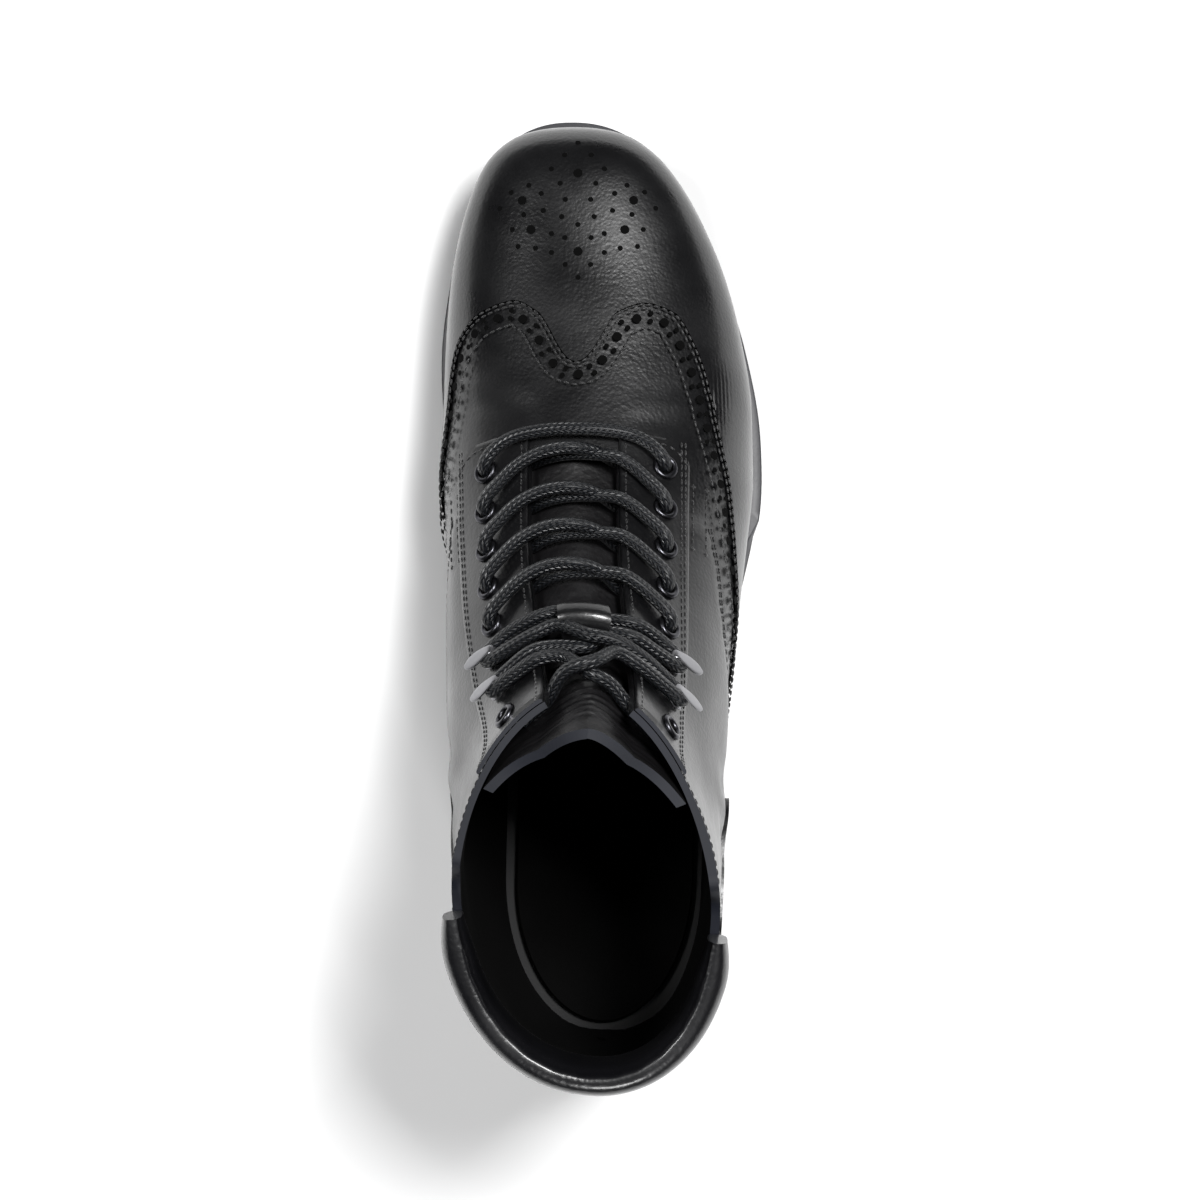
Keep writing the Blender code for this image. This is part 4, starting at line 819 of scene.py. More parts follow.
def make_upper():
    """The shaped upper: vamp, quarters and shaft, creased where a foot bends it, with a painted topline."""
    levels = VAMP_LEVELS + SIDE_LEVELS + SHAFT_LEVELS
    places = np.array([level_places(level) for level in levels])
    rows = np.array([level_row(level, place) for level, place in zip(levels, places)])
    kept = np.ones((rows.shape[0] - 1, rows.shape[1] - 1), bool)
    kept[len(VAMP_LEVELS) - 1:, SIDE_COLUMNS:SIDE_COLUMNS + THROAT_COLUMNS] = False
    outer = skin(rows, places, 0.0)
    plain = on_upper(rows, np.where((places <= -1) & (rows >= CLOSED_ROW), 1.0, places))
    inner = plain - facing_out(rows, places) * WALL
    base = np.isclose(np.abs(places), 1) & (rows <= CLOSED_ROW)
    inner[..., 2] = np.where(base, outer[..., 2], inner[..., 2])
    mesh = panel_mesh("upper_leather", outer, inner, CALF, CUT_EDGE, kept)
    finish_piece("upper_leather", mesh, ["upper"])


def directions(rows, places):
    """How far, in millimetres, the surface runs for a unit of row and for a unit of place across."""
    small = 0.01
    by_row = (on_upper(rows + small, places) - on_upper(rows - small, places)) / (2 * small)
    by_place = (on_upper(rows, places + small) - on_upper(rows, places - small)) / (2 * small)
    return by_row, by_place


def shifted(rows, places, distance):
    """The line moved sideways over the leather by a distance, to the left of its own run as seen from outside."""
    by_row, by_place = directions(rows, places)
    points = on_upper(rows, places)
    run = np.gradient(points, axis=0)
    run /= np.maximum(1e-9, np.linalg.norm(run, axis=-1, keepdims=True))
    aside = np.cross(facing_out(rows, places), run) * np.asarray(distance, float)[..., None]
    a = (by_row * by_row).sum(-1)
    b = (by_row * by_place).sum(-1)
    c = (by_place * by_place).sum(-1)
    d = (by_row * aside).sum(-1)
    e = (by_place * aside).sum(-1)
    det = np.maximum(1e-9, a * c - b * b)
    return rows + (c * d - b * e) / det, places + (a * e - b * d) / det


def run_lengths(points):
    return np.concatenate([[0], np.cumsum(np.linalg.norm(np.diff(points, axis=0), axis=1))])


def evenly(rows, places, count):
    """The same line with its points spaced evenly over the leather."""
    run = run_lengths(on_upper(rows, places))
    at = np.linspace(0, run[-1], count)
    return np.interp(at, run, rows), np.interp(at, run, places)


def inset_line(rows, places, distance):
    """A line that keeps this distance inside the edge: points that come nearer, as inside a bend, drop out."""
    new_rows, new_places = shifted(rows, places, -distance)
    edge = on_upper(rows, places)
    points = on_upper(new_rows, new_places)
    nearest = np.array([np.linalg.norm(edge - p, axis=1).min() for p in points])
    good = nearest > distance * 0.96
    return new_rows[good], new_places[good]


WING_PLACES = np.linspace(-CAP_REACH, CAP_REACH, 1500)
WING_ROWS = seam_row(WING_EDGE, WING_PLACES)
WING_TEETH = int(round(run_lengths(on_upper(WING_ROWS, WING_PLACES))[-1] / TOOTH_PITCH))
WING_LINE = evenly(WING_ROWS, WING_PLACES, WING_TEETH * TOOTH_COLUMNS + 1)


def make_cap():
    """The wing tip's overlay, from over the welt to its pinked edge of small saw teeth."""
    rows, places = WING_LINE
    step = np.arange(len(rows)) / TOOTH_COLUMNS
    tooth = np.abs(2 * (step - np.floor(step + 0.5)))
    tip_rows, tip_places = shifted(rows, places, (tooth - 0.5) * TOOTH_DEPTH)
    root_rows, root_places = shifted(rows, places, np.full(len(rows), -TOOTH_DEPTH))
    scan = np.linspace(0.0, 12.0, 240)[:, None] * np.ones(len(rows))
    across = np.broadcast_to(places, scan.shape)
    point = on_section(scan, across)
    high = (point[..., 2] - seat(point[..., 1])) >= CAP_FOOT
    foot = np.maximum(scan[np.argmax(high, axis=0), 0], 0.12)
    foot = np.minimum(foot, root_rows - 0.15)
    shares = np.linspace(0, 1, CAP_LINES)[:, None]
    grid_rows = np.concatenate([blend(foot, root_rows, shares), tip_rows[None]])
    grid_places = np.concatenate([blend(places, root_places, shares ** 4), tip_places[None]])
    grid_places = np.clip(grid_places, -0.95, 0.95)
    lift = np.full(grid_rows.shape, PANEL_TOP)
    lift[-1] -= 0.45
    lift[0] -= 0.5
    outer = skin(grid_rows, grid_places, lift)
    inner = skin(grid_rows, grid_places, CLEAR)
    mesh = panel_mesh("cap_leather", outer, inner, CAP_CALF)
    finish_piece("cap_leather", mesh, ["wing_cap"], 40)


def facing_line(side, inside_edge, levels):
    """A line up a facing that keeps its distance from the ridge."""
    return levels, np.array([across_at(level, side * inside_edge) for level in levels])


FACING_LEVELS = np.concatenate([np.linspace(FACING_FRONT, 10, 26), np.linspace(10, TOP_ROW, 90)[1:]])


def make_facings():
    """The eyelet facings: a second layer of leather with rounded edges, from the throat up to the topline."""
    for name, side in (("medial", -1), ("lateral", 1)):
        width = FACING_INNER if side < 0 else FACING_OUTER
        near = THROAT_HALF + CLEAR
        steps = [near + at for at, _ in EDGE_ROLL] + list(np.linspace(near + 2, width - 2, 18))
        steps += [width - at for at, _ in EDGE_ROLL[::-1]]
        drops = np.array([d for _, d in EDGE_ROLL] + [0] * 18 + [d for _, d in EDGE_ROLL[::-1]])
        share = (np.array(steps) - near) / (width - near)
        front = FACING_FRONT + FACING_CORNER * share ** 6
        rows, places = [], []
        for level in FACING_LEVELS:
            place = np.array([across_at(level, side * d) for d in steps])
            rows.append(np.maximum(level_row(level, place), front))
            places.append(np.where(level < front, [across_at(f, side * d) for f, d in zip(front, steps)], place)
                          if level < 9.4 else place)
        rows, places = np.array(rows), np.array(places)
        lift = np.full(rows.shape, PANEL_TOP) - drops
        lift[0] -= 0.5
        if side > 0:
            rows, places, lift = rows[:, ::-1], places[:, ::-1], lift[:, ::-1]
        outer = skin(rows, places, lift)
        inner = skin(rows, places, CLEAR)
        mesh = panel_mesh(f"facing_leather_{name}", outer, inner, CALF, CUT_EDGE)
        finish_piece(f"facing_leather_{name}", mesh, [f"facing_{name}"], 60)


def height_over_seat(rows, places):
    point = on_upper(rows, places)
    return point[..., 2] - seat(point[..., 1])


def cut_lines(rows, places, inside):
    """Draws each line of the grid that runs up the boot back to where it leaves the region."""
    rows, places = rows.copy(), places.copy()
    held = inside(rows, places)
    count = len(rows)
    every = np.arange(rows.shape[1])
    first = np.argmax(held, axis=0)
    last = count - 1 - np.argmax(held[::-1], axis=0)
    for good, bad in ((first, first - 1), (last, last + 1)):
        cut = (bad >= 0) & (bad < count) & held.any(axis=0)
        bad = np.clip(bad, 0, count - 1)
        start = np.array([rows[good, every], places[good, every]])
        end = np.array([rows[bad, every], places[bad, every]])
        near, far = np.zeros(len(every)), np.ones(len(every))
        for _ in range(18):
            middle = (near + far) / 2
            row, place = blend(start, end, middle)
            ok = inside(row, place)
            near, far = np.where(ok, middle, near), np.where(ok, far, middle)
        row, place = blend(start, end, near)
        for j in every[cut]:
            ends = slice(0, bad[j] + 1) if bad[j] < good[j] else slice(bad[j], None)
            rows[ends, j], places[ends, j] = row[j], place[j]
    return rows, places


def make_counter():
    """The heel counter: a low panel from a rounded tip at each waist round the back in one piece."""
    edge_row, edge_across = column(COUNTER_EDGE, "row"), column(COUNTER_EDGE, "across")
    levels = np.concatenate([np.linspace(edge_row[0], CLOSED_ROW, 44),
                             np.linspace(CLOSED_ROW, CLOSED_ROW + COUNTER_LEVELS, 24)[1:]])
    rows, places = [], []
    for level in levels:
        edge = float(smooth(min(level, edge_row[-1]), edge_row, edge_across))
        foot = blend(COUNTER_FOOT, COUNTER_HEEL, np.clip(level - CLOSED_ROW + 1, 0, 1) ** 2)
        foot = 1.0 if level > CLOSED_ROW else foot
        place = level_places(level)
        sides = np.clip(np.abs(place), edge, foot)
        place = np.where(place < 0, -sides, sides)
        rows.append(level_row(level, place))
        places.append(place)

    def inside(row, across):
        over = height_over_seat(row, across)
        return (over >= COUNTER_LOW) & (over <= COUNTER_HEIGHT)

    kept = np.ones((len(rows) - 1, len(places[0]) - 1), bool)
    kept[:, SIDE_COLUMNS:SIDE_COLUMNS + THROAT_COLUMNS] = False
    rows, places = cut_lines(np.array(rows), np.array(places), inside)
    room = CLEAR + COUNTER_EASE * np.clip(1 - (rows - edge_row[0]) / 1.5, 0, 1)
    mesh = panel_mesh("counter_leather", skin(rows, places, room + OVERLAY), skin(rows, places, room),
                      CALF, None, kept)
    finish_piece("counter_leather", mesh, ["counter"], 40)


COLLAR_GAP = 0.06
COLLAR_SEAM = 0.05
COLLAR_RISE_ROWS = 0.12
COLLAR_SHOULDER = 0.62
COLLAR_SWELL = 0.08
COLLAR_SQUARE = 0.75
COLLAR_SIDES = 28
COLLAR_LINES = 130
COLLAR_CHANNEL = 0.55


def make_collar():
    """The padded rear collar: a fat soft roll, pinched a little where its inner seam is sewn."""
    start = COLLAR_START + COLLAR_GAP
    stop = 2 - COLLAR_START - COLLAR_GAP
    low = TOP_ROW - COLLAR_HEIGHT_ROWS + COLLAR_SEAM
    rows, places, lifts = [], [], []
    for place in np.linspace(start, stop, COLLAR_LINES):
        near_end = min(place - start, stop - place)
        full = COLLAR_SHOULDER + (1 - COLLAR_SHOULDER) * math.sin(min(1, near_end / COLLAR_SWELL) * math.pi / 2)
        back = math.sin(math.pi * (place - COLLAR_START) / (2 - 2 * COLLAR_START))
        high = TOP_ROW + COLLAR_RISE_ROWS * back
        turn = 2 * math.pi * (np.arange(COLLAR_SIDES) + 0.5) / COLLAR_SIDES
        outward = np.copysign(np.abs(np.cos(turn)) ** COLLAR_SQUARE, np.cos(turn))
        upward = np.copysign(np.abs(np.sin(turn)) ** COLLAR_SQUARE, np.sin(turn))
        reach = np.where(outward > 0, COLLAR_OUT, COLLAR_IN)
        pinch = COLLAR_CHANNEL * np.exp(-((turn - 2.2) / 0.16) ** 2)
        pucker = 0.12 * math.sin(place * 95) * np.exp(-((turn - 2.2) / 0.5) ** 2)
        lifts.append(-WALL / 2 + outward * (reach + WALL / 2) * full + pinch + pucker)
        rows.append((low + high) / 2 + upward * (high - low) / 2 - pinch * 0.04)
        places.append(np.full(COLLAR_SIDES, place if place <= 1 else place - 2))
    rings = skin(np.array(rows), np.array(places), np.array(lifts))
    piece = finish_piece("collar_pad", sweep("collar_pad", rings, COLLAR_CALF), ["collar"])


def tongue_depth(row, distance):
    """How far inside the upper's outer face the tongue's outer face lies."""
    lean = np.clip((row - CLOSED_ROW) / (TONGUE_TOP_ROW - CLOSED_ROW), 0, 1) ** 1.5
    deep = blend(TONGUE_DEPTH, TONGUE_DEPTH_TOP, lean)
    return deep - TONGUE_SWELL * np.exp(-(distance / THROAT_HALF) ** 2) * (1 - lean)


def make_tongue():
    """The wide milled-leather tongue, softly rumpled under the lace, its top edge painted."""
    shares = np.linspace(-1, 1, 61)
    rows, places, depths = [], [], []
    for row in np.linspace(TONGUE_FRONT_ROW, TONGUE_TOP_ROW, 110):
        rise = (row - TONGUE_FRONT_ROW) / (TONGUE_TOP_ROW - TONGUE_FRONT_ROW)
        half = blend(TONGUE_HALF, TONGUE_HALF_TOP, rise ** 1.6)
        inner, outer = across_at(min(row, TOP_ROW), -half), across_at(min(row, TOP_ROW), half)
        late = np.clip((row - CLOSED_ROW) / (TONGUE_TOP_ROW - CLOSED_ROW), 0, 1)
        edge = np.clip((np.abs(shares) - TONGUE_EDGE) / (1 - TONGUE_EDGE), 0, 1)
        rumple = 0.25 * np.sin(row * 6.7 + 2 * np.sin(shares * 3)) * (1 - edge)
        rows.append(row - late * TONGUE_SIDE_DROP * shares ** 2)
        places.append(np.where(shares < 0, -inner * shares, outer * shares))
        depths.append(blend(tongue_depth(row, shares * half), WALL + TONGUE_SIDE_GAP, edge) + rumple)
    rows, places, depths = np.array(rows), np.array(places), np.array(depths)
    out = facing_out(rows, places)
    face = on_upper(rows, places)
    mesh = panel_mesh("tongue_leather", face - out * depths[..., None],
                      face - out * (depths + TONGUE_WALL)[..., None], TONGUE_HIDE, CUT_EDGE)
    finish_piece("tongue_leather", mesh, ["tongue"], 60)


def find_lace_places():
    """The row of each pair of holes or hooks, and the place across it on each side, from the front up."""
    found = []
    for step in range(EYELET_ROWS + HOOK_ROWS + 1):
        pair = []
        for side in (-1, 1):
            row = row_after(THROAT_ROW, side * EYELET_LINE, FIRST_EYELET + step * EYELET_PITCH)
            pair.append((row, across_at(row, side * EYELET_LINE)))
        found.append(pair)
    return found


LACE_PLACES = find_lace_places()
KEEPER_WIDTH = 12.0
KEEPER_WALL = 1.4
KEEPER_HALF_ROWS = 0.50
KEEPER_SQUARE = 0.7
ROW_LENGTH = 16.0
LACE_SLANT_ROWS = 0.35
LACE_LOW = 2.0
LACE_OVER = 2.6


def make_keeper():
    """The polished leather loop on the tongue, over the first crossing above the eyelets."""
    (row_in, _), (row_out, _) = LACE_PLACES[EYELET_ROWS]
    centre = (row_in + row_out) / 2 - LACE_SLANT_ROWS / 2
    base = CLEAR - tongue_depth(centre, 0.0)
    top = CLEAR + LACE_LOW + LACE_OVER + LACE / 2 + CLEAR
    turn = np.linspace(0, math.pi, 46)[:, None]
    distances = np.linspace(-KEEPER_WIDTH / 2, KEEPER_WIDTH / 2, 13)
    places = np.array([across_at(centre, d if abs(d) > 1e-6 else 0.01) for d in distances]) * np.ones_like(turn)
    crown = 0.35 * np.cos(distances / KEEPER_WIDTH * math.pi) ** 0.5
    faces = []
    for wall in (KEEPER_WALL, 0.0):
        half = KEEPER_HALF_ROWS + wall / ROW_LENGTH
        lift = base + (top + wall - base) * np.sin(turn) ** KEEPER_SQUARE + crown * (wall > 0)
        rows = centre - half * np.sign(np.cos(turn)) * np.abs(np.cos(turn)) ** KEEPER_SQUARE
        rows = rows * np.ones_like(places)
        faces.append(on_upper(rows, places) + facing_out(rows, places) * (lift * np.ones_like(places))[..., None])
    mesh = panel_mesh("keeper_loop", faces[0], faces[1], CAP_CALF)
    finish_piece("keeper_loop", mesh, ["lace_keeper"], 60)


def shape_tree(name, build, sizes, material):
    """A geometry-node tree that sets one shape on every point, turned by the point's own directions.

    Each point carries along, out and size. The tree's named inputs are the shape's sizes in metres.
    """
    tree = bpy.data.node_groups.new(name, "GeometryNodeTree")
    tree.interface.new_socket(name="Geometry", in_out="INPUT", socket_type="NodeSocketGeometry")
    for key in sizes:
        tree.interface.new_socket(name=key, in_out="INPUT", socket_type="NodeSocketFloat")
    tree.interface.new_socket(name="Geometry", in_out="OUTPUT", socket_type="NodeSocketGeometry")
    enter = node(tree, "NodeGroupInput")
    shape = build(tree, enter.outputs)
    along_point = node(tree, "GeometryNodeInputNamedAttribute", {"Name": "along"}, data_type="FLOAT_VECTOR")
    out_point = node(tree, "GeometryNodeInputNamedAttribute", {"Name": "out"}, data_type="FLOAT_VECTOR")
    size_point = node(tree, "GeometryNodeInputNamedAttribute", {"Name": "size"}, data_type="FLOAT")
    turned = node(tree, "FunctionNodeAlignRotationToVector", {"Vector": out_point.outputs["Attribute"]}, axis="Z")
    turned = node(tree, "FunctionNodeAlignRotationToVector",
                  {"Rotation": turned.outputs["Rotation"], "Vector": along_point.outputs["Attribute"]},
                  axis="X", pivot_axis="Z")
    placed = node(tree, "GeometryNodeInstanceOnPoints",
                  {"Points": enter.outputs["Geometry"], "Instance": shape,
                   "Rotation": turned.outputs["Rotation"], "Scale": size_point.outputs["Attribute"]})
    solid = node(tree, "GeometryNodeRealizeInstances", {"Geometry": placed.outputs["Instances"]})
    dressed = node(tree, "GeometryNodeSetMaterial", {"Geometry": solid.outputs["Geometry"],
                                                     "Material": material})
    leave = node(tree, "NodeGroupOutput")
    tree.links.new(dressed.outputs["Geometry"], leave.inputs["Geometry"])
    return tree


def scattered(name, tree, sizes, points, replaces=(), smooth_angle=80):
    """Runs a shape tree over points, given as place, along, out and size, and keeps the plain mesh."""
    places, along_dirs, out_dirs, scales = points
    mesh = bpy.data.meshes.new(name + "_points")
    mesh.from_pydata([tuple(p) for p in metres(places)], [], [])
    for key, kind, field, values in (("along", "FLOAT_VECTOR", "vector", along_dirs),
                                     ("out", "FLOAT_VECTOR", "vector", out_dirs),
                                     ("size", "FLOAT", "value", scales)):
        mesh.attributes.new(key, kind, "POINT").data.foreach_set(field, np.asarray(values, np.float32).ravel())
    holder = bpy.data.objects.new(name + "_points", mesh)
    bpy.context.collection.objects.link(holder)
    modifier = holder.modifiers.new("shapes", "NODES")
    modifier.node_group = tree
    for item in tree.interface.items_tree:
        if item.in_out == "INPUT" and item.name in sizes:
            modifier[item.identifier] = sizes[item.name] * MM
    bpy.context.view_layer.update()
    graph = bpy.context.evaluated_depsgraph_get()
    result = bpy.data.meshes.new_from_object(holder.evaluated_get(graph))
    bpy.data.objects.remove(holder)
    result.name = name
    return finish_piece(name, result, replaces, smooth_angle)


def stitch_shape(tree, inputs):
    """One stitch: a low oval bead of thread."""
    ball = node(tree, "GeometryNodeMeshUVSphere", {"Segments": 8, "Rings": 5, "Radius": 0.5})
    scale = node(tree, "ShaderNodeCombineXYZ", {"X": inputs["Length"], "Y": inputs["Width"],
                                                "Z": inputs["Height"]})
    return node(tree, "GeometryNodeTransform", {"Geometry": ball.outputs["Mesh"],
                                                "Scale": scale.outputs["Vector"]}).outputs["Geometry"]


def hole_shade_disc(tree, inputs):
    """One punched hole seen from outside: a flat disc that carries painted shade for the hole's dark inside."""
    return node(tree, "GeometryNodeMeshCylinder", {"Vertices": 14, "Radius": inputs["Radius"],
                                                   "Depth": inputs["Depth"]}).outputs["Mesh"]


def eyelet_shape(tree, inputs):
    """One eyelet: a rolled metal ring."""
    middle = node(tree, "GeometryNodeCurvePrimitiveCircle", {"Resolution": 28, "Radius": inputs["Middle"]})
    roll = node(tree, "GeometryNodeCurvePrimitiveCircle", {"Resolution": 10, "Radius": inputs["Roll"]})
    ring = node(tree, "GeometryNodeCurveToMesh", {"Curve": middle.outputs["Curve"],
                                                  "Profile Curve": roll.outputs["Curve"]})
    return ring.outputs["Mesh"]


STITCH_PITCH = 2.5
STITCH_SIZES = {"Length": 2.0, "Width": 0.62, "Height": 0.55}


def stitch_points(rows, places, lift, pitch=STITCH_PITCH):
    """Evenly spaced stitches along a line on the leather."""
    points = on_upper(rows, places)
    count = max(2, int(run_lengths(points)[-1] / pitch))
    row, place = evenly(rows, places, count)
    spot = skin(row, place, np.full(count, lift))
    return spot, np.gradient(spot, axis=0), facing_out(row, place), np.ones(count)


def stitch_lines():
    """The sewn lines: cap, facings, quarters, topline and the tacks at the facings' feet."""
    lines = []
    for inside in (1.9, 3.3, 9.6):
        rows, places = inset_line(*WING_LINE, np.full(len(WING_LINE[0]), inside))
        lines.append((rows, places, PANEL_TOP + 0.05))
    for side, width in ((-1, FACING_INNER), (1, FACING_OUTER)):
        levels = np.linspace(FACING_FRONT + 0.12, TOP_ROW - 0.45, 70)
        for distance in (THROAT_HALF + 2.2, width - 1.9, width - 3.3):
            lines.append((*facing_line(side, distance, levels), PANEL_TOP + 0.05))
        front = np.linspace(THROAT_HALF + 2.2, width - 1.9, 16)
        near = FACING_FRONT + 0.13 + FACING_CORNER * ((front - THROAT_HALF) / (width - THROAT_HALF)) ** 6
        lines.append((near, np.array([across_at(r, side * d) for r, d in zip(near, front)]), PANEL_TOP + 0.05))
        tack_low, tack_high = FACING_FRONT + 0.75, FACING_FRONT + 1.9
        for distance in (width + 2.0, width + 7.5):
            lines.append((*facing_line(side, distance, np.linspace(tack_low, tack_high, 10)), 0.05))
        for row in (tack_low, tack_high):
            across = np.linspace(width + 2.0, width + 7.5, 6)
            lines.append((np.full(6, row), np.array([across_at(row, side * d) for d in across]), 0.05))
    for table in (QUARTER_SEAM_OUTER, QUARTER_SEAM_INNER):
        ends = table[0].across, table[-1].across
        across = np.linspace(*ends, 120)
        side = 1 if ends[1] > 0 else -1
        for behind in (1.3, 2.7):
            rows, places = shifted(seam_row(table, across), across, np.full(120, behind * side))
            lines.append((rows, places, 0.05))
    for side in (-1, 1):
        across = np.linspace(0.2, COLLAR_START - 0.04, 40) * side
        lines.append((topline(across) - 0.32, across, 0.05))
        across = np.linspace(COLLAR_START + 0.06, 0.985, 70) * side
        lines.append((np.full(70, TOP_ROW - COLLAR_HEIGHT_ROWS - 0.16), across, 0.05))
    return lines


def make_stitches():
    tree = shape_tree("stitches", stitch_shape, STITCH_SIZES, THREAD)
    runs = [stitch_points(*line) for line in stitch_lines()]
    points = [np.concatenate([run[k] for run in runs]) for k in range(4)]
    scattered("stitching", tree, STITCH_SIZES, points)


BAND_HOLES = 6.0
BAND_PITCH = 9.3
LARGE_HOLE = 3.0
SMALL_HOLE = 1.7
SMALL_SPREAD = 1.35
HOLE_SHADE_SIZES = {"Radius": 0.5, "Depth": 0.08}

# The medallion, read off the picture. aside: picture pixels from its middle line, mirrored where it
# isn't 0. down: the picture's own row. size: the hole's diameter in millimetres.
Hole = namedtuple("Hole", "aside down size")
MEDALLION_MIDDLE = 578.0
MEDALLION = [
    Hole(0, 175, LARGE_HOLE), Hole(0, 253, LARGE_HOLE), Hole(54.5, 202, LARGE_HOLE), Hole(46, 231, LARGE_HOLE),
    Hole(0, 146, SMALL_HOLE), Hole(0, 226, SMALL_HOLE), Hole(0, 279, SMALL_HOLE), Hole(13, 157.6, SMALL_HOLE),
    Hole(26, 171, SMALL_HOLE), Hole(17.5, 185, SMALL_HOLE), Hole(36, 195, SMALL_HOLE),
    Hole(48, 187, SMALL_HOLE), Hole(65, 194, SMALL_HOLE), Hole(12.5, 201, SMALL_HOLE),
    Hole(34, 212, SMALL_HOLE), Hole(53, 216, SMALL_HOLE), Hole(76, 210, SMALL_HOLE), Hole(16, 218, SMALL_HOLE),
    Hole(64, 231, SMALL_HOLE), Hole(26, 235, SMALL_HOLE), Hole(13, 239, SMALL_HOLE),
    Hole(41.5, 249.6, SMALL_HOLE), Hole(58.5, 248, SMALL_HOLE), Hole(26, 254, SMALL_HOLE),
    Hole(12.5, 266, SMALL_HOLE),
]


def seen(points):
    """Where points of the last appear in the picture."""
    scale = FOCAL_PIXELS / (CAMERA_HEIGHT - points[..., 2])
    return np.stack([PICTURE / 2 + points[..., 0] * scale, PICTURE / 2 - points[..., 1] * scale], axis=-1)


def dropped(spots):
    """The row and place across of picture points that lie on the toe's leather."""
    grid_row, grid_place = np.meshgrid(np.linspace(0.4, 8.5, 120), np.linspace(-0.7, 0.7, 120), indexing="ij")
    grid = seen(on_upper(grid_row, grid_place)).reshape(-1, 2)
    nearest = [int(np.argmin(((grid - spot) ** 2).sum(-1))) for spot in spots]
    row, place = grid_row.ravel()[nearest], grid_place.ravel()[nearest]
    small = 0.005
    for _ in range(6):
        here = seen(on_upper(row, place))
        by_row = (seen(on_upper(row + small, place)) - here) / small
        by_place = (seen(on_upper(row, place + small)) - here) / small
        miss = spots - here
        det = by_row[:, 0] * by_place[:, 1] - by_row[:, 1] * by_place[:, 0]
        row = row + (miss[:, 0] * by_place[:, 1] - miss[:, 1] * by_place[:, 0]) / det
        place = place + (by_row[:, 0] * miss[:, 1] - by_row[:, 1] * miss[:, 0]) / det
    return row, place


def make_punches():
    """The brogueing: a row of large and paired small holes round the cap and a medallion on the toe, each drawn as
    a flat disc of painted shade on the cap.
    """
    rows, places = inset_line(*WING_LINE, np.full(len(WING_LINE[0]), BAND_HOLES))
    length = run_lengths(on_upper(rows, places))[-1]
    count = int(length / BAND_PITCH)
    large = evenly(rows, places, count * 2 + 1)
    row_list, place_list, sizes = [large[0][::2]], [large[1][::2]], [np.full(count + 1, LARGE_HOLE)]
    for way in (-1, 1):
        pair = shifted(large[0], large[1], np.full(len(large[0]), way * SMALL_SPREAD))
        row_list.append(pair[0][1::2])
        place_list.append(pair[1][1::2])
        sizes.append(np.full(count, SMALL_HOLE))
    spots = [(MEDALLION_MIDDLE + way * hole.aside, hole.down, hole.size)
             for hole in MEDALLION for way in ((-1, 1) if hole.aside else (1,))]
    spots = np.array(spots)
    row, place = dropped(spots[:, :2])
    row_list.append(row)
    place_list.append(place)
    sizes.append(spots[:, 2])
    rows, places, sizes = (np.concatenate(part) for part in (row_list, place_list, sizes))
    good = (np.abs(places) < 0.93) & (rows > 0.3)
    rows, places, sizes = rows[good], places[good], sizes[good]
    out = facing_out(rows, places)
    spot = skin(rows, places, np.full(len(rows), PANEL_TOP + 0.03))
    sideways = np.cross(out, [0.0, 1.0, 0.0])
    tree = shape_tree("punch_shade_discs", hole_shade_disc, HOLE_SHADE_SIZES, PAINTED_HOLE_SHADE)
    scattered("punched_hole_shade", tree, HOLE_SHADE_SIZES, (spot, sideways, out, sizes))


EYELET_SIZES = {"Middle": (EYELET_OUTER + EYELET_BORE) / 4, "Roll": (EYELET_OUTER - EYELET_BORE) / 4}


def frame_at(row, across):
    """The leather at a point: its place, and the directions outward, across and up the boot."""
    row, across = np.array([row]), np.array([across])
    out = facing_out(row, across)[0]
    sideways = (on_upper(row, across + 0.01) - on_upper(row, across - 0.01))[0]
    sideways = sideways - out * np.dot(sideways, out)
    sideways = sideways / np.linalg.norm(sideways)
    return skin(row, across, 0.0)[0], out, sideways, np.cross(out, sideways)


def make_eyelets():
    spots, outs, ways, names = [], [], [], []
    for step, pair in enumerate(LACE_PLACES):
        if EYELET_ROWS <= step < EYELET_ROWS + HOOK_ROWS:
            continue
        for side, (row, across) in zip(("medial", "lateral"), pair):
            point, out, sideways, _ = frame_at(row, across)
            spots.append(point + out * (PANEL_TOP + CLEAR + 0.05))
            outs.append(out)
            ways.append(sideways)
            names.append(f"eyelet_{side}_{step + 1 if step < EYELET_ROWS else 'top'}")
    tree = shape_tree("eyelets", eyelet_shape, EYELET_SIZES, GUNMETAL)
    points = (np.array(spots), np.array(ways), np.array(outs), np.ones(len(spots)))
    scattered("eyelet_rings", tree, EYELET_SIZES, points, names)
    # Flat discs inside the rings: painted shade for the eyelets' dark bores.
    bore_shade_discs = shape_tree("bore_shade_discs", hole_shade_disc, HOLE_SHADE_SIZES, PAINTED_HOLE_SHADE)
    bore_shade_spots = (np.array(spots) - np.array(outs) * 0.25, np.array(ways), np.array(outs),
            np.full(len(spots), EYELET_BORE + 1))
    scattered("eyelet_bore_shade", bore_shade_discs, HOLE_SHADE_SIZES, bore_shade_spots)


SCENE_HOOK_RISE = 5.0
SCENE_HOOK_PLATE = 0.8


